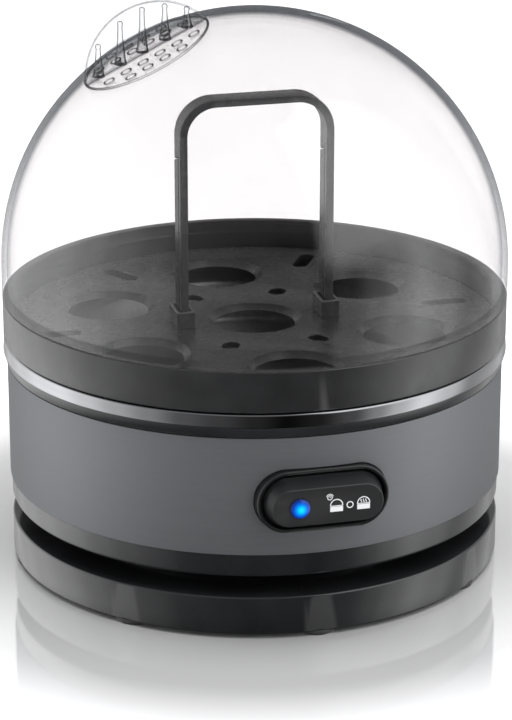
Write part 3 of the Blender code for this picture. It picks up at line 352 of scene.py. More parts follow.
def lampFinish(name, centre, strength):
    # lit blue lens: a pale core that falls to deep blue at the rim
    material, tree, shader = startMaterial(name)
    place = tree.nodes.new("ShaderNodeTexCoord").outputs["Object"]
    mapping = tree.nodes.new("ShaderNodeMapping")
    mapping.inputs["Location"].default_value = [-c for c in centre]
    tree.links.new(place, mapping.inputs["Vector"])
    flat = tree.nodes.new("ShaderNodeVectorMath")
    flat.operation = "MULTIPLY"
    flat.inputs[1].default_value = (1, 0, 1)
    tree.links.new(mapping.outputs[0], flat.inputs[0])
    length = tree.nodes.new("ShaderNodeVectorMath")
    length.operation = "LENGTH"
    tree.links.new(flat.outputs[0], length.inputs[0])
    reach = mathNode(tree, "DIVIDE", length.outputs["Value"], 0.0031)
    glow = rampNode(tree, reach, [(0.0, (0.01, 0.92, 1.0)), (0.3, (0.0, 0.62, 1.0)), (0.5, (0.0, 0.26, 0.95)),
                                  (0.72, (0.003, 0.08, 0.55)), (0.9, (0.002, 0.02, 0.2)),
                                  (1.0, (0.001, 0.01, 0.09))])
    shader.inputs["Base Color"].default_value = (0.002, 0.01, 0.06, 1)
    shader.inputs["Roughness"].default_value = 0.12
    shader.inputs["Specular IOR Level"].default_value = 0.3
    tree.links.new(glow, shader.inputs["Emission Color"])
    shader.inputs["Emission Strength"].default_value = strength
    tree.links.new(bumpNode(tree, noiseNode(tree, 1500), 0.05), shader.inputs["Normal"])
    return material


def inkFinish(name):
    material, tree, shader = startMaterial(name)
    tone = mixColour(tree, spread(tree, noiseNode(tree, 9000), 0, 1), (0.72, 0.73, 0.74), (0.86, 0.86, 0.87))
    tree.links.new(tone, shader.inputs["Base Color"])
    tree.links.new(spread(tree, noiseNode(tree, 5000), 0.4, 0.6), shader.inputs["Roughness"])
    return material


def boardFinish(name):
    material, tree, shader = startMaterial(name)
    weave = noiseNode(tree, 2500, (1, 1, 0.2))
    tone = mixColour(tree, spread(tree, weave, 0, 1), (0.012, 0.09, 0.03), (0.02, 0.16, 0.06))
    tree.links.new(tone, shader.inputs["Base Color"])
    tree.links.new(spread(tree, weave, 0.25, 0.4), shader.inputs["Roughness"])
    return material


make = {name: mouldedFinish(name) for name in finishes}
make["satinSteel"] = metalFinish("satinSteel", (0.165, 0.171, 0.18), (0.44, 0.52),
                                 20, (1, 1, 160), 0.15, 0.5, 0.05, 0.2, 0.35)
make["darkChrome"] = metalFinish("darkChrome", (0.27, 0.272, 0.282), (0.05, 0.08),
                                 30, (1, 1, 30), 0.03, 1.0, 0.05)
make["dishMetal"] = metalFinish("dishMetal", (0.2, 0.2, 0.205), (0.3, 0.42),
                                900, (1, 1, 0.3), 0.2, 0.8, 0.2)
make["heaterSheath"] = metalFinish("heaterSheath", (0.4, 0.39, 0.37), (0.38, 0.52), 300, (1, 1, 1), 0.2)
make["zincSteel"] = metalFinish("zincSteel", (0.56, 0.56, 0.54), (0.28, 0.4), 600, (1, 1, 1), 0.15)
# arguments after the name: see-through tint, painted rim shade colour, facing range over which that painted shade
# comes in, grazing gloss, and the height span over which the painted shade grows
make["clearShell"] = clearShellFinish("clearShell", (0.925, 0.916, 0.916), (0.28, 0.29, 0.31),
                                      (0.715, 0.795), 0.5, (0.1, 0.15, 0.3, 1.0))
make["clearInner"] = clearShellFinish("clearInner", (0.94, 0.935, 0.935), (0.88, 0.88, 0.89),
                                      (0.75, 0.98), 0.35)
make["clearRib"] = clearShellFinish("clearRib", (0.93, 0.93, 0.935), (0.02, 0.022, 0.026),
                                    (0.12, 0.78), 0.5)
make["clearFin"] = clearShellFinish("clearFin", (0.975, 0.975, 0.98), (0.1, 0.105, 0.11),
                                    (0.45, 0.8), 0.4)
make["icon"] = inkFinish("iconInk")
make["board"] = boardFinish("circuitBoard")
print("finishes made:", len(make))


# Shape helpers. Profiles are (radius, height) in mm.
def spinProfile(points, steps=192, closed=True):
    bm = bmesh.new()
    corners = [bm.verts.new((r * mm, 0, z * mm)) for r, z in points]
    for pair in zip(corners, corners[1:] + corners[:1] if closed else corners[1:]):
        bm.edges.new(pair)
    return spinUp(bm, steps)


def spinUp(bm, steps):
    bmesh.ops.spin(bm, geom=bm.verts[:] + bm.edges[:], cent=(0, 0, 0), axis=(0, 0, 1), dvec=(0, 0, 0),
                   angle=math.tau, steps=steps, use_merge=True)
    bmesh.ops.remove_doubles(bm, verts=bm.verts[:], dist=1e-7)
    bmesh.ops.recalc_face_normals(bm, faces=bm.faces[:])
    return bm


def roundEdges(bm, edges, width, segments=3):
    bmesh.ops.bevel(bm, geom=edges, offset=width * mm, offset_type="OFFSET", segments=segments, profile=0.5,
                    affect="EDGES", clamp_overlap=True, material=-1)


def onRing(v, radius, height):
    return abs(math.hypot(v.co.x, v.co.y) - radius * mm) < 2e-5 and abs(v.co.z - height * mm) < 2e-5


def roundRings(bm, rings, segments=3):
    for radius, height, width in rings:
        ring = [e for e in bm.edges if all(onRing(v, radius, height) for v in e.verts)]
        roundEdges(bm, ring, width, segments)


def obroundEdge(bm, length, height, y, arc=24, x=0.0, z=0.0):
    # ring of vertices round a long hole or button, in the XZ plane
    upright = Matrix.Rotation(math.pi / 2, 4, "X")
    made = bmesh.ops.create_circle(bm, segments=arc * 2, radius=height / 2 * mm, matrix=upright)["verts"]
    made.sort(key=lambda v: math.atan2(v.co.z, v.co.x))
    for v in made:
        side = (length - height) / 2 * mm
        v.co.x += side if v.co.x > 1e-7 else -side if v.co.x < -1e-7 else 0.0
        v.co += Vector((x, y, z)) * mm
    return made


def vertsOf(geom):
    return [g for g in geom if isinstance(g, bmesh.types.BMVert)]


def drawnOut(bm, faces, vector):
    # the far end's vertices, after faces are drawn out along a vector in metres
    grown = bmesh.ops.extrude_face_region(bm, geom=faces, use_keep_orig=True)
    lifted = vertsOf(grown["geom"])
    bmesh.ops.translate(bm, vec=vector, verts=lifted)
    return lifted


def obroundBar(bm, length, height, y, deep, arc=24, x=0.0, z=0.0):
    # long hole or button as a solid, drawn out along Y
    ring = obroundEdge(bm, length, height, y, arc, x, z)
    return ring + drawnOut(bm, [bm.faces.new(ring)], (0, deep * mm, 0))


def asMesh(bm, name):
    mesh = bpy.data.meshes.new(name)
    bm.to_mesh(mesh)
    bm.free()
    return mesh


def combined(bm, tool, operation="DIFFERENCE"):
    # the first solid with the second cut from it or joined to it
    first = bpy.data.objects.new("workpiece", asMesh(bm, "workpiece"))
    second = bpy.data.objects.new("tool", asMesh(tool, "tool"))
    for item in (first, second):
        bpy.context.scene.collection.objects.link(item)
    change = first.modifiers.new("change", "BOOLEAN")
    change.operation = operation
    change.solver = "EXACT"
    change.object = second
    graph = bpy.context.evaluated_depsgraph_get()
    result = bmesh.new()
    result.from_object(first, graph)
    for item in (first, second):
        mesh = item.data
        bpy.data.objects.remove(item)
        bpy.data.meshes.remove(mesh)
    return result


def makePiece(name, bm, finish, body, nodes=(), sharp=34):
    mesh = asMesh(bm, name)
    mesh.shade_smooth()
    mesh.set_sharp_from_angle(angle=math.radians(sharp))
    mesh.materials.append(make[finish])
    piece = bpy.data.objects.new(name, mesh)
    bpy.context.scene.collection.objects.link(piece)
    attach(piece, body)
    if nodes:
        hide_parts(*nodes)
    return piece


def softEdges(piece, width, segments=2, angle=35):
    bevel = piece.modifiers.new("softEdges", "BEVEL")
    bevel.width = width * mm
    bevel.segments = segments
    bevel.limit_method = "ANGLE"
    bevel.angle_limit = math.radians(angle)
    bevel.harden_normals = True


def addBox(bm, low, high):
    size = [(b - a) * mm for a, b in zip(low, high)]
    middle = [(a + b) / 2 * mm for a, b in zip(low, high)]
    matrix = Matrix.Translation(middle) @ Matrix.Diagonal((*size, 1))
    return bmesh.ops.create_cube(bm, size=1, matrix=matrix)["verts"]


def addBar(bm, centre, low, high, depth, segments=48, turn=None):
    matrix = Matrix.Translation(Vector(centre) * mm) @ (turn or Matrix.Identity(4))
    return bmesh.ops.create_cone(bm, cap_ends=True, segments=segments, radius1=low * mm, radius2=high * mm,
                                 depth=depth * mm, matrix=matrix)["verts"]


def sizeOf(node):
    low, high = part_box(node)
    return low / mm, high / mm


# Steel sleeve with its panel window
sleeve = {"steps": 288, "edge": 0.25, "windowLength": 42.0, "windowHeight": 20.5}


def makeSleeve():
    low, high = sizeOf("housing_shell")
    outer, inner = high.x, high.x - 0.8
    bm = spinProfile([(outer, high.z), (outer, low.z), (inner, low.z), (inner, high.z)], sleeve["steps"])
    roundRings(bm, [(outer, high.z, sleeve["edge"]), (outer, low.z, sleeve["edge"])])
    window = sum(sizeOf("switch_bezel"), Vector()) / 2
    tool = bmesh.new()
    obroundBar(tool, sleeve["windowLength"], sleeve["windowHeight"], -90, 30, z=window.z)
    bmesh.ops.recalc_face_normals(tool, faces=tool.faces[:])
    return makePiece("steelSleeve", combined(bm, tool), "satinSteel", "base", ["housing_shell"])


# Bright trim ring under the egg rack, with a black chamfer below its widest line
trim = {"steps": 256, "brightHigh": 4.3, "seam": 0.1}


def makeTrim():
    high = sizeOf("trim_ring")[1]
    top = high.z
    foot = top - 7.8
    step = top - trim["brightHigh"]
    points = [(76.9, top), (80.2, top), (80.9, top - 0.6), (81.2, top - 4.0), (81.15, step), (79.2, step),
              (79.2, top - 3.0), (76.9, top - 3.0)]
    bm = spinProfile(points, trim["steps"])
    roundRings(bm, [(80.2, top, 0.3), (80.9, top - 0.6, 0.3), (81.2, top - 4.0, 0.2), (76.9, top, 0.3)])
    makePiece("trimRing", bm, "darkChrome", "base", ["trim_ring"])
    step -= trim["seam"]
    points = [(79.1, step), (81.1, step), (80.1, foot), (78.9, foot), (78.9, foot - 3.6), (77.3, foot - 3.6),
              (77.3, foot - 1.3), (72, foot - 1.3), (72, foot + 0.7), (76.9, foot + 0.7),
              (76.9, top - 3.1), (79.1, top - 3.1)]
    bm = spinProfile(points, trim["steps"])
    roundRings(bm, [(81.1, step, 0.15), (80.1, foot, 0.2)])
    return makePiece("trimChamfer", bm, "glossBlack", "base", ["trim_ring"])


# Black lower housing: skirt, cord groove ceiling and neck
lower = {"steps": 256, "edge": 0.35}


def makeLowerHousing():
    low, high = sizeOf("lower_housing")
    foot = low.z
    skirt = foot + 6.7
    top = high.z - 3.4
    points = [(78.9, high.z), (78.9, top), (79.9, top), (79.4, skirt + 0.4), (79.0, skirt), (55.0, skirt),
              (55.0, foot), (52.6, foot), (52.6, skirt + 2.3), (77.4, skirt + 2.3), (77.4, high.z)]
    bm = spinProfile(points, lower["steps"])
    roundRings(bm, [(79.9, top, 0.2), (79.4, skirt + 0.4, 0.5), (55.0, skirt, 0.8)])
    tool = bmesh.new()
    addBox(tool, (-5.3, 50, foot - 2), (5.3, 58, foot + 6.2))
    return makePiece("lowerHousing", combined(bm, tool), "glossBlack", "base", ["lower_housing"])


# Base pan
pan = {"steps": 256, "topEdge": 0.7, "footEdge": 0.8, "footWide": 6.3, "footDeep": 0.8}


def makePan():
    low, high = sizeOf("base_pan")
    outer = high.x
    bottom, top = low.z, high.z
    floor = bottom + 2.4
    points = [(0, floor), (outer - 2.4, floor), (outer - 2.4, top - 2.2), (50.5, top - 2.2), (50.5, top),
              (outer, top), (outer, bottom), (0, bottom)]
    bm = spinProfile(points, pan["steps"], closed=False)
    roundRings(bm, [(outer, top, pan["topEdge"]), (outer, bottom, pan["footEdge"]), (50.5, top, 0.3)], 4)
    tool = bmesh.new()
    for k in range(8):
        turn = math.radians(-90 + 45 * k)
        spot = (73.5 * math.cos(turn), 73.5 * math.sin(turn), bottom)
        addBar(tool, spot, pan["footWide"], pan["footWide"], 2 * pan["footDeep"])
    for k in range(4):
        turn = math.radians(45 + 90 * k)
        addBar(tool, (49.2 * math.cos(turn), 49.2 * math.sin(turn), bottom), 3.1, 3.1, 4.0)
    return makePiece("basePan", combined(bm, tool), "glossBlack", "base", ["base_pan"])


# Rubber feet
foot = {"steps": 40, "edge": 0.5}


def makeFeet():
    for k in range(8):
        node = "foot_%d" % (k + 1)
        low, high = sizeOf(node)
        wide = (high.x - low.x) / 2
        bm = bmesh.new()
        addBar(bm, (0, 0, (low.z + high.z) / 2), wide, wide, high.z - low.z, foot["steps"])
        rim = [e for e in bm.edges if all(v.co.z < (low.z + 0.1) * mm for v in e.verts)]
        roundEdges(bm, rim, foot["edge"])
        sole = max(bm.faces, key=lambda f: -f.normal.z * f.calc_area())
        bmesh.ops.inset_individual(bm, faces=[sole], thickness=1.6 * mm, depth=0)
        bmesh.ops.inset_individual(bm, faces=[sole], thickness=0.3 * mm, depth=-0.25 * mm)
        middle = (low + high) / 2
        bmesh.ops.translate(bm, vec=Vector((middle.x, middle.y, 0)) * mm, verts=bm.verts[:])
        makePiece("rubberFoot%d" % (k + 1), bm, "rubber", "base", [node])


# Heated dish
dish = {"steps": 256}


def makeDish():
    low, high = sizeOf("heating_dish")
    rim = high.z
    deep = rim - 13.7
    points = [(0, deep), (59.2, deep), (60.4, deep + 1.1), (65.0, rim - 1.0), (66.2, rim), (76.6, rim),
              (76.6, rim - 1.2), (66.8, rim - 1.2), (66.0, rim - 1.9), (61.4, deep - 0.2), (59.9, deep - 1.2),
              (2.0, deep - 1.2), (2.0, low.z), (0, low.z)]
    bm = spinProfile(points, dish["steps"], closed=False)
    roundRings(bm, [(59.2, deep, 1.0), (60.4, deep + 1.1, 0.7), (65.0, rim - 1.0, 0.7), (66.2, rim, 0.6),
                    (76.6, rim, 0.3)], 4)
    return makePiece("heatedDish", bm, "dishMetal", "base", ["heating_dish"])


# Egg rack: band, floor with seven seats, sockets and posts
rack = {"steps": 256, "edge": 0.45, "seatMouth": 15.5, "seatFoot": 12.6, "seatRing": 49.52}


def makeRackBand():
    low, high = sizeOf("egg_rack")
    outer, inner = high.x, high.x - 2.4
    foot, top = low.z + 3.5, low.z + 16.4
    points = [(inner, foot + 1.3), (inner, top), (outer, top), (outer, foot), (76.3, foot), (76.3, low.z),
              (74.4, low.z), (74.4, foot + 1.3)]
    bm = spinProfile(points, rack["steps"])
    edge = rack["edge"]
    roundRings(bm, [(outer, top, edge), (inner, top, edge), (outer, foot, edge), (76.3, low.z, 0.4)])
    return makePiece("rackBand", bm, "rackBlack", "rack", ["egg_rack"])


def makeRackFloor():
    top = sizeOf("egg_rack")[0].z + 6.7
    under = top - 2.0
    bm = bmesh.new()
    addBar(bm, (0, 0, (top + under) / 2), 78.3, 78.3, top - under, 192)
    ring, turns = rack["seatRing"], [math.radians(a) for a in range(-90, 270, 60)]
    spots = [(0.0, 0.0)] + [(ring * math.cos(a), ring * math.sin(a)) for a in turns]
    tool = bmesh.new()
    for x, y in spots:
        addBar(tool, (x, y, top - 1.0), rack["seatFoot"], rack["seatMouth"], 2.4, 72)
    for k in range(6):
        slots = [(64.5, 15.0, 5.0)]
        if k % 3:
            slots.append((28.7, 7.0, 5.5))
        for reach, length, width in slots:
            slot = obroundBar(tool, length, width, 0, 8, 12, reach)
            bmesh.ops.rotate(tool, verts=slot, cent=(0, 0, 0), matrix=Matrix.Rotation(math.pi / 2, 3, "X"))
            bmesh.ops.translate(tool, vec=(0, 0, (top - 5) * mm), verts=slot)
            turn = Matrix.Rotation(math.radians(60 * k), 3, "Z")
            bmesh.ops.rotate(tool, verts=slot, cent=(0, 0, 0), matrix=turn)
    bmesh.ops.recalc_face_normals(tool, faces=tool.faces[:])
    piece = makePiece("rackFloor", combined(bm, tool), "rackMatt", "rack", ["egg_rack"])
    softEdges(piece, 0.35, 2)
    return piece


def makeRackPosts():
    low, high = sizeOf("egg_rack")
    floor = low.z + 6.7
    bm = bmesh.new()
    for side in (-1, 1):
        x0, x1 = sorted((side * 22.65, side * 25.3))
        post = addBox(bm, (x0, -1.3, floor + 1.0), (x1, 4.0, high.z))
        bmesh.ops.translate(bm, vec=(0, 0, -1.7 * mm), verts=[v for v in post if v.co.y > 0.003 and v.co.z > 0.1])
    posts = makePiece("rackPosts", bm, "rackMatt", "rack", ["egg_rack"])
    softEdges(posts, 0.35, 2)
    bm = bmesh.new()
    for side in (-1, 1):
        x0, x1 = sorted((side * 20.95, side * 27.0))
        addBox(bm, (x0, -5.7, floor - 0.3), (x1, 5.7, floor + 5.5))
    tool = bmesh.new()
    for side in (-1, 1):
        x0, x1 = sorted((side * 22.35, side * 25.6))
        addBox(tool, (x0, -4.3, floor + 0.3), (x1, 4.0, floor + 9.0))
    sockets = makePiece("rackSockets", combined(bm, tool), "rackMatt", "rack", ["egg_rack"])
    softEdges(sockets, 0.5, 3)
    return posts


# Carrying handle: one strap bent round two corners
handle = {"half": 25.3, "thick": 2.65, "deep": 8.0, "corner": 12.0, "edge": 0.55, "bend": 20, "seam": 132.8}


def makeHandle():
    low, high = sizeOf("rack_handle")
    half, thick, corner = handle["half"], handle["thick"], handle["corner"]
    bm = bmesh.new()
    side = handle["deep"] / 2
    corners = ((half - thick, -side), (half, -side), (half, side), (half - thick, side))
    foot = bm.faces.new([bm.verts.new(Vector((x, y, low.z)) * mm) for x, y in corners])

    def carry(face, vector):
        grown = bmesh.ops.extrude_face_region(bm, geom=[face])
        end = next(g for g in grown["geom"] if isinstance(g, bmesh.types.BMFace))
        bmesh.ops.translate(bm, vec=Vector(vector) * mm, verts=end.verts[:])
        bmesh.ops.delete(bm, geom=[face], context="FACES_ONLY")
        return end

    def bend(face, centre):
        turned = bmesh.ops.spin(bm, geom=[face], cent=Vector(centre) * mm, axis=(0, 1, 0), dvec=(0, 0, 0),
                                angle=-math.pi / 2, steps=handle["bend"])
        return next(g for g in turned["geom_last"] if isinstance(g, bmesh.types.BMFace))

    grown = bmesh.ops.extrude_face_region(bm, geom=[foot], use_keep_orig=True)
    end = next(g for g in grown["geom"] if isinstance(g, bmesh.types.BMFace))
    bmesh.ops.translate(bm, vec=Vector((0, 0, high.z - corner - low.z)) * mm, verts=end.verts[:])
    end = bend(end, (half - corner, 0, high.z - corner))
    end = carry(end, (-2 * (half - corner), 0, 0))
    end = bend(end, (-half + corner, 0, high.z - corner))
    end = carry(end, (0, 0, -(high.z - corner - low.z)))
    bmesh.ops.remove_doubles(bm, verts=bm.verts[:], dist=1e-7)
    inner = [f for f in bm.faces if all(len(e.link_faces) > 2 for e in f.edges)]
    if inner:
        bmesh.ops.delete(bm, geom=inner, context="FACES_ONLY")
    bmesh.ops.recalc_face_normals(bm, faces=bm.faces[:])
    tool = bmesh.new()  # the strap's rear is stepped below the seam
    block = addBox(tool, (-half - 2, -1.6, low.z - 2), (half + 2, 9, handle["seam"]))
    bmesh.ops.translate(tool, vec=(0, 0, -3.4 * mm), verts=[v for v in block if v.co.y > 0.005 and v.co.z > 0.1])
    piece = makePiece("rackHandle", combined(bm, tool), "rackMatt", "rack", ["rack_handle"])
    softEdges(piece, handle["edge"], 3)
    return piece


# Clear lid: shell with a flat, vented facet and a slot, and a ribbed fin to hold it by
lid = {
    "radius": 81.1, "wall": 1.8, "steps": 240, "arc": 40, "facetTilt": 26.4, "facetWide": 21.5,
    "finHigh": 15.0, "finThick": 1.6, "vent": 1.5, "bead": 0.42, "ventBead": 0.26, "rimBead": 0.4,
    # along the facet from its middle, and the tip's height above the dome's centre
    "ribs": ((-15.2, 73.6), (-8.2, 80.4), (-1.2, 84.4), (6.0, 85.1), (13.0, 83.9)), "ribFoot": 2.0, "ribTip": 1.0,
}


def lidFrame():
    low = sizeOf("lid_dome")[0]
    tilt = math.radians(lid["facetTilt"])
    normal = Vector((-math.sin(tilt), 0, math.cos(tilt)))
    slope = Vector((math.cos(tilt), 0, math.sin(tilt)))
    depth = math.sqrt(lid["radius"] ** 2 - lid["facetWide"] ** 2)
    centre = Vector((0, 0, low.z + 13.9))
    return centre, normal, slope, depth


def ventSpots():
    # along the slope and across it, from the middle of the facet
    rows = ((7.5, (-15, -9, -3, 3, 9, 15)), (14.2, (-9, -3, 3, 9)))
    return [(u, side * v) for v, along in rows for side in (-1, 1) for u in along]


def makeDome():
    centre, normal, slope, depth = lidFrame()
    low = sizeOf("lid_dome")[0]
    radius, inner = lid["radius"], lid["radius"] - lid["wall"]
    bm = bmesh.new()

    def arcFrom(reach):
        tip = bm.verts.new((centre + Vector((0, 0, reach))) * mm)
        bmesh.ops.spin(bm, geom=[tip], cent=centre * mm, axis=(0, 1, 0), dvec=(0, 0, 0), angle=math.pi / 2,
                       steps=lid["arc"])
        return max(bm.verts, key=lambda v: v.co.x if abs(v.co.x - reach * mm) < 1e-6 else -1)

    outerEnd = arcFrom(radius)
    innerEnd = arcFrom(inner)
    foot = low.z + 4.3
    skirt = ((radius, foot), (78.0, foot), (78.0, low.z), (76.2, low.z), (76.2, foot), (inner, foot + 2.4))
    chain = [outerEnd] + [bm.verts.new((r * mm, 0, z * mm)) for r, z in skirt] + [innerEnd]
    for pair in zip(chain, chain[1:]):
        bm.edges.new(pair)
    bm = spinUp(bm, lid["steps"])
    roundRings(bm, [(radius, foot, 0.35), (78.0, low.z, 0.4), (76.2, low.z, 0.4)])
    for reach, offset in ((radius, 0.0), (inner, lid["wall"])):
        upper = [f for f in bm.faces if f.calc_center_median().z > centre.z * mm]
        faces = [f for f in upper if abs((f.calc_center_median() - centre * mm).length - reach * mm) < 0.0004]
        part = faces + list({e for f in faces for e in f.edges}) + list({v for f in faces for v in f.verts})
        cut = bmesh.ops.bisect_plane(bm, geom=part, dist=1e-7, plane_co=(centre + normal * (depth - offset)) * mm,
                                     plane_no=normal, clear_outer=True)
        rim = [e for e in cut["geom_cut"] if isinstance(e, bmesh.types.BMEdge)]
        bmesh.ops.edgeloop_fill(bm, edges=rim)
    bmesh.ops.recalc_face_normals(bm, faces=bm.faces[:])
    turn = Matrix((slope, Vector((0, 1, 0)), normal)).transposed().to_4x4()
    facet = centre + normal * depth
    tool = bmesh.new()
    for u, v in ventSpots():
        addBar(tool, facet + slope * u + Vector((0, v, 0)), lid["vent"], lid["vent"] * 1.15, 9, 28, turn)
    away = math.radians(17.5)
    out = Vector((math.sin(away), 0, math.cos(away)))
    slot = obroundBar(tool, 13.4, 4.0, 0, -8, 12)
    place = Matrix.Translation((centre + out * (radius - 4)) * mm) @ Matrix.Rotation(away, 4, "Y")
    bmesh.ops.transform(tool, verts=slot, matrix=place @ Matrix.Rotation(-math.pi / 2, 4, "X"))
    bmesh.ops.recalc_face_normals(tool, faces=tool.faces[:])
    shell = makePiece("clearLid", combined(bm, tool), "clearShell", "lid", ["lid_dome"], sharp=25)
    shell.data.materials.append(make["clearInner"])
    for face in shell.data.polygons:
        reach = (face.center - centre * mm).length
        if abs(reach - inner * mm) < 0.00012 and face.center.z > (low.z + 6) * mm:
            face.material_index = 1
    return shell


def makeFin():
    centre, normal, slope, depth = lidFrame()
    facet = centre + normal * (depth + 0.02)
    half = lid["facetWide"] - 0.1
    tall = lid["finHigh"]
    bend = (half ** 2 + tall ** 2) / (2 * tall)
    bm = bmesh.new()
    start = bm.verts.new((facet - slope * half - Vector((0, lid["finThick"] / 2, 0))) * mm)
    hub = facet + normal * (tall - bend) - Vector((0, lid["finThick"] / 2, 0))
    sweep = 2 * math.asin(half / bend) if tall <= bend else math.tau - 2 * math.asin(half / bend)
    bmesh.ops.spin(bm, geom=[start], cent=hub * mm, axis=(0, 1, 0), dvec=(0, 0, 0), angle=sweep, steps=64)
    bmesh.ops.contextual_create(bm, geom=bm.edges[:] + bm.verts[:])
    drawnOut(bm, bm.faces[:], (0, lid["finThick"] * mm, 0))
    bmesh.ops.recalc_face_normals(bm, faces=bm.faces[:])
    flat = [e for e in bm.edges if abs(e.verts[0].co.y - e.verts[1].co.y) < 1e-6]
    rims = [e for e in flat if abs(abs(e.verts[0].co.y) - lid["finThick"] / 2 * mm) < 1e-6]
    roundEdges(bm, rims, 0.4)
    fin = makePiece("lidFin", bm, "clearFin", "lid", ["lid_dome"], sharp=30)
    makeRibs(centre, facet)
    makeBeads(facet, normal, slope, tall - bend, bend, sweep)
    return fin


def makeRibs(centre, facet):
    # five fingers on the fin, each with a wide foot and a small ball at the tip
    tilt = math.tan(math.radians(lid["facetTilt"]))
    bm = bmesh.new()
    for dx, top in lid["ribs"]:
        low = facet.z + (dx + lid["ribFoot"]) * tilt - 0.4
        high = centre.z + top
        tall = high - low
        ball = lid["ribTip"]
        rib = bmesh.new()
        wide = lid["ribFoot"]
        points = [(wide, 0), (wide * 0.86, 0.12 * tall), (wide * 0.66, 0.34 * tall), (ball * 0.95, 0.62 * tall),
                  (ball * 0.82, tall - 2.2 * ball)]
        for a in (50, 75, 100, 125, 150, 168):
            points.append((ball * math.sin(math.radians(a)), tall - ball + ball * -math.cos(math.radians(a))))
        line = [rib.verts.new((r * mm, 0, z * mm)) for r, z in [(0, 0)] + points + [(0, tall)]]
        for pair in zip(line, line[1:]):
            rib.edges.new(pair)
        spinUp(rib, 28)
        bmesh.ops.translate(rib, vec=Vector((facet.x + dx, 0, low)) * mm, verts=rib.verts[:])
        bm.from_mesh(asMesh(rib, "rib"))
    ribs = makePiece("lidRibs", bm, "clearRib", "lid", ["lid_dome"], sharp=60)
    softEdges(ribs, 0.15, 2, 50)
    return ribs


def tubeRing(bm, reach, thick, sides, steps):
    # closed ring of round section in the XY plane
    made = bmesh.new()
    turns = [math.tau * k / sides for k in range(sides)]
    ring = [made.verts.new(((reach + thick * math.cos(a)) * mm, 0, thick * math.sin(a) * mm)) for a in turns]
    for pair in zip(ring, ring[1:] + ring[:1]):
        made.edges.new(pair)
    spinUp(made, steps)
    first = len(bm.verts)
    bm.from_mesh(asMesh(made, "ring"))
    bm.verts.ensure_lookup_table()
    return bm.verts[first:]


def makeBeads(facet, normal, slope, hub, bend, sweep):
    # thin beads round the facet, round each vent, along the foot of the fin and over its rim
    turn = Matrix((slope, Vector((0, 1, 0)), normal)).transposed().to_4x4()
    bm = bmesh.new()
    reach = lid["facetWide"] - lid["bead"] * 0.6
    tubeRing(bm, reach, lid["bead"], 12, 96)
    for u, v in ventSpots():
        ring = tubeRing(bm, lid["vent"] + 0.2, lid["ventBead"], 8, 28)
        bmesh.ops.translate(bm, vec=Vector((u, v, 0.05)) * mm, verts=ring)
    rim = bmesh.new()
    start = bmesh.ops.create_circle(rim, cap_ends=True, segments=10, radius=lid["rimBead"] * mm,
                                    matrix=Matrix.Rotation(math.pi / 2, 4, "X"))["verts"]
    turned = (sweep / 2) - 0.02
    place = Matrix.Rotation(-turned, 4, "Y") @ Matrix.Translation((0, 0, bend * mm))
    bmesh.ops.transform(rim, verts=start, matrix=place @ Matrix.Rotation(math.pi / 2, 4, "Z"))
    face = next(f for f in rim.faces)
    disc = [face] + face.edges[:] + face.verts[:]
    bmesh.ops.spin(rim, geom=disc, cent=(0, 0, 0), axis=(0, 1, 0), dvec=(0, 0, 0), angle=2 * turned, steps=64)
    bmesh.ops.recalc_face_normals(rim, faces=rim.faces[:])
    bmesh.ops.translate(rim, vec=(0, 0, hub * mm), verts=rim.verts[:])
    bm.from_mesh(asMesh(rim, "rim"))
    for side in (-1, 1):
        thick = lid["bead"] * 0.8
        spot = (0, side * lid["finThick"] / 2, 0.1)
        addBar(bm, spot, thick, thick, 2 * reach - 1.0, 12, Matrix.Rotation(math.pi / 2, 4, "Y"))
    bmesh.ops.transform(bm, verts=bm.verts[:], matrix=Matrix.Translation(facet * mm) @ turn)
    beads = makePiece("lidBeads", bm, "clearRib", "lid", ["lid_dome"], sharp=60)
    softEdges(beads, 0.12, 2, 50)
    return beads


# Switch panel
panel = {"bezelLength": 41.4, "bezelHeight": 19.9, "boreLength": 38.9, "boreHeight": 17.4, "bezelEdge": 0.55}


def panelCentre():
    low, high = sizeOf("switch_bezel")
    return low.y, (low.z + high.z) / 2


def makeBezel():
    front, level = panelCentre()
    bm = bmesh.new()
    obroundBar(bm, panel["bezelLength"], panel["bezelHeight"], front, 5.5, z=level)
    bmesh.ops.recalc_face_normals(bm, faces=bm.faces[:])
    flange = bmesh.new()
    obroundBar(flange, panel["bezelLength"] + 3.6, panel["bezelHeight"] + 3.6, front + 5.5, 1.2, z=level)
    bmesh.ops.recalc_face_normals(flange, faces=flange.faces[:])
    bm = combined(bm, flange, "UNION")
    bore = bmesh.new()
    obroundBar(bore, panel["boreLength"], panel["boreHeight"], front - 2, 12, z=level)
    bmesh.ops.recalc_face_normals(bore, faces=bore.faces[:])
    bm = combined(bm, bore)
    rims = [e for e in bm.edges if all(abs(v.co.y - front * mm) < 1e-6 for v in e.verts)]
    roundEdges(bm, rims, panel["bezelEdge"])
    return makePiece("switchBezel", bm, "panelBlack", "base", ["switch_bezel"])


rocker = {"faceLength": 34.2, "faceHeight": 11.4, "skirtLength": 37.2, "skirtHeight": 15.9, "lightX": -8.8}


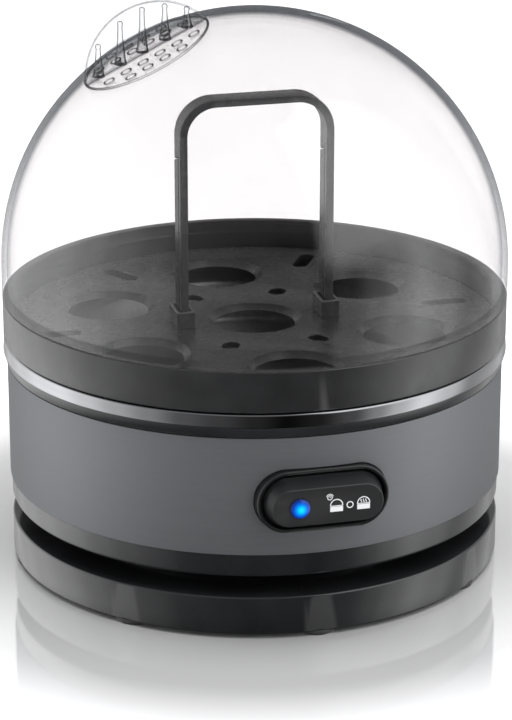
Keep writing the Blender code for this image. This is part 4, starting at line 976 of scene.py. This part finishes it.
def makeRocker():
    low, high = sizeOf("rocker_cap")
    level = (low.z + high.z) / 2
    front = low.y
    bm = bmesh.new()
    rings = []
    face, skirt = (rocker["faceLength"], rocker["faceHeight"]), (rocker["skirtLength"], rocker["skirtHeight"])
    stages = ((*face, front), (face[0] + 0.5, face[1] + 0.5, front + 0.25),
              (skirt[0] - 0.6, skirt[1] - 0.9, front + 4.6), (*skirt, front + 5.5), (*skirt, front + 9.0))
    for length, tall, y in stages:
        ring = obroundEdge(bm, length, tall, y, z=level)
        rings.append([bm.edges.get((a, b)) for a, b in zip(ring, ring[1:] + ring[:1])])
    for a, b in zip(rings, rings[1:]):
        bmesh.ops.bridge_loops(bm, edges=a + b)
    bmesh.ops.contextual_create(bm, geom=rings[0])
    bmesh.ops.contextual_create(bm, geom=rings[-1])
    bmesh.ops.recalc_face_normals(bm, faces=bm.faces[:])
    tool = bmesh.new()
    addBar(tool, (rocker["lightX"], front + 4.5, level), 2.7, 2.7, 14, 48, Matrix.Rotation(math.pi / 2, 4, "X"))
    cap = combined(bm, tool)
    return makePiece("rockerCap", cap, "panelBlack", "rocker", ["rocker_cap"], sharp=24)


def makeLens():
    low, high = sizeOf("led_lens")
    x, z = (low.x + high.x) / 2, (low.z + high.z) / 2
    bm = bmesh.new()
    bmesh.ops.create_uvsphere(bm, u_segments=48, v_segments=24, radius=3.1 * mm)
    bmesh.ops.bisect_plane(bm, geom=bm.verts[:] + bm.edges[:] + bm.faces[:], dist=1e-7, plane_co=(0, 0, 0),
                           plane_no=(0, 0, 1), clear_inner=True)
    bmesh.ops.scale(bm, vec=(1, 1, 0.32), verts=bm.verts[:])
    rim = [e for e in bm.edges if e.is_boundary]
    grown = bmesh.ops.extrude_edge_only(bm, edges=rim)
    bmesh.ops.translate(bm, vec=(0, 0, -0.28 * mm), verts=vertsOf(grown["geom"]))
    rim = [e for e in bm.edges if e.is_boundary]
    grown = bmesh.ops.extrude_edge_only(bm, edges=rim)
    bmesh.ops.scale(bm, vec=(2.4 / 3.1, 2.4 / 3.1, 1), verts=vertsOf(grown["geom"]))
    rim = [e for e in bm.edges if e.is_boundary]
    grown = bmesh.ops.extrude_edge_only(bm, edges=rim)
    bmesh.ops.translate(bm, vec=(0, 0, -8 * mm), verts=vertsOf(grown["geom"]))
    bmesh.ops.edgeloop_fill(bm, edges=[e for e in bm.edges if e.is_boundary])
    bmesh.ops.rotate(bm, verts=bm.verts[:], cent=(0, 0, 0), matrix=Matrix.Rotation(math.pi / 2, 3, "X"))
    bmesh.ops.translate(bm, vec=Vector((x, low.y + 0.99, z)) * mm, verts=bm.verts[:])
    bmesh.ops.recalc_face_normals(bm, faces=bm.faces[:])
    make["ledBlue"] = lampFinish("ledBlue", (x * mm, low.y * mm, z * mm), 1.0)
    return makePiece("lightLens", bm, "ledBlue", "rocker", ["led_lens"])


# Printed symbols on the rocker: pot with a timer bell, off ring, pot with steam
symbols = {"potX": 2.55, "ringX": 6.75, "steamX": 11.0, "thick": 0.04, "line": 0.3, "potWide": 2.05}


def makeSymbols():
    low, high = sizeOf("rocker_cap")
    level = (low.z + high.z) / 2
    face = low.y
    bm = bmesh.new()

    def strip(points, width, shut=False):
        # a flat printed line through points, wide as given
        count = len(points)
        left, right = [], []
        for i, p in enumerate(points):
            before = points[i - 1] if i or shut else points[i]
            after = points[(i + 1) % count] if i < count - 1 or shut else points[i]
            run = (Vector(after) - Vector(before)).normalized()
            side = Vector((-run.y, run.x)) * width / 2
            left.append(Vector(p) + side)
            right.append(Vector(p) - side)
        pairs = list(range(count if shut else count - 1))
        a = [bm.verts.new((v.x * mm, 0, v.y * mm)) for v in left]
        b = [bm.verts.new((v.x * mm, 0, v.y * mm)) for v in right]
        for i in pairs:
            j = (i + 1) % count
            bm.faces.new((a[i], a[j], b[j], b[i]))

    def arc(cx, cz, r, start, end, count=20):
        turns = [math.radians(start + (end - start) * i / count) for i in range(count + 1)]
        return [(cx + r * math.cos(a), cz + r * math.sin(a)) for a in turns]

    wide = symbols["potWide"]
    for x in (symbols["potX"], symbols["steamX"]):
        strip(arc(x, -0.15, wide - 0.15, 0, 180), symbols["line"])
        strip([(x - wide, -0.3), (x + wide, -0.3)], 0.24)
        strip([(x - wide + 0.05, -1.35), (x + wide - 0.05, -1.35)], 1.6)
    strip(arc(symbols["ringX"], -0.35, 0.95, 0, 360 * 23 / 24, 23), symbols["line"], True)
    for shift in (-0.75, 0.0, 0.75):
        x = symbols["steamX"] + shift
        strip([(x + 0.2 * math.sin(t * 2.2), 0.36 * t) for t in (0, 0.6, 1.2, 1.8, 2.4, 3.0)], 0.24)
    bell = (symbols["potX"] - 2.1, 2.5)
    strip(arc(bell[0], bell[1], 0.72, 0, 360 * 15 / 16, 15), 0.24, True)
    strip(arc(bell[0], bell[1], 1.14, 20, 160, 10), 0.2)
    strip([(bell[0], bell[1]), (bell[0], bell[1] + 0.45)], 0.18)
    strip([(bell[0], bell[1]), (bell[0] + 0.36, bell[1])], 0.18)
    bmesh.ops.recalc_face_normals(bm, faces=bm.faces[:])
    bmesh.ops.solidify(bm, geom=bm.faces[:], thickness=symbols["thick"] * mm)
    bmesh.ops.translate(bm, vec=Vector((0, face, level)) * mm, verts=bm.verts[:])
    bmesh.ops.recalc_face_normals(bm, faces=bm.faces[:])
    return makePiece("panelSymbols", bm, "icon", "rocker")


# Cord gland in the neck: length and height of each part, and where the rear flange starts
gland = {"lip": (7.8, 4.6), "edge": (10.9, 5.5), "flange": (12.2, 6.3), "waist": (10.0, 5.6), "rear": 55.2}


def makeGland():
    low, high = sizeOf("cord_gland")
    level = (low.z + high.z) / 2
    bm = bmesh.new()
    rings = []
    front, rear = low.y, gland["rear"]
    stages = (("lip", front), ("edge", front), ("flange", front + 0.5), ("flange", front + 2.0),
              ("waist", front + 2.1), ("waist", rear), ("flange", rear + 0.1), ("flange", high.y - 0.6),
              ("edge", high.y), ("lip", high.y))
    for part, y in stages:
        length, tall = gland[part]
        ring = obroundEdge(bm, length, tall, y, z=level)
        rings.append([bm.edges.get((a, b)) for a, b in zip(ring, ring[1:] + ring[:1])])
    for a, b in zip(rings, rings[1:] + rings[:1]):
        bmesh.ops.bridge_loops(bm, edges=a + b)
    bmesh.ops.recalc_face_normals(bm, faces=bm.faces[:])
    return makePiece("cordGland", bm, "rubber", "base", ["cord_gland"])


for step in (makeSleeve, makeTrim, makeLowerHousing, makePan, makeFeet, makeDish, makeRackBand, makeRackFloor,
             makeRackPosts, makeHandle, makeDome, makeFin, makeBezel, makeRocker, makeLens, makeSymbols, makeGland):
    step()
    print("made:", step.__name__)

# Finishes of the working parts inside
make["lampBlue"] = lampFinish("lampBlue", tuple((a + b) / 2 for a, b in zip(*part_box("led_lamp"))), 0.4)
inside = {
    "silicone": ["dish_seal"],
    "heaterSheath": ["heating_element", "element_clamp"],
    "zincSteel": ["clamp_nut", "rocker_pin", "panel_screw_", "cord_screw_", "body_screw_", "base_screw_"],
    "phenolic": ["thermostat", "terminal_block"],
    "leadWhite": ["thermal_fuse", "lead_fuse", "lead_element"],
    "leadBrown": ["lead_live", "lead_switched"],
    "leadBlue": ["lead_neutral", "lead_buzzer"],
    "panelBlack": ["switch_body", "cord_clamp", "buzzer"],
    "board": ["led_board"],
    "lampBlue": ["led_lamp"],
}
for finish, names in inside.items():
    for node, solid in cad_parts.items():
        if any(node == n or (n.endswith("_") and node.startswith(n)) for n in names):
            solid.data.materials.clear()
            solid.data.materials.append(make[finish])
print("inner parts finished")
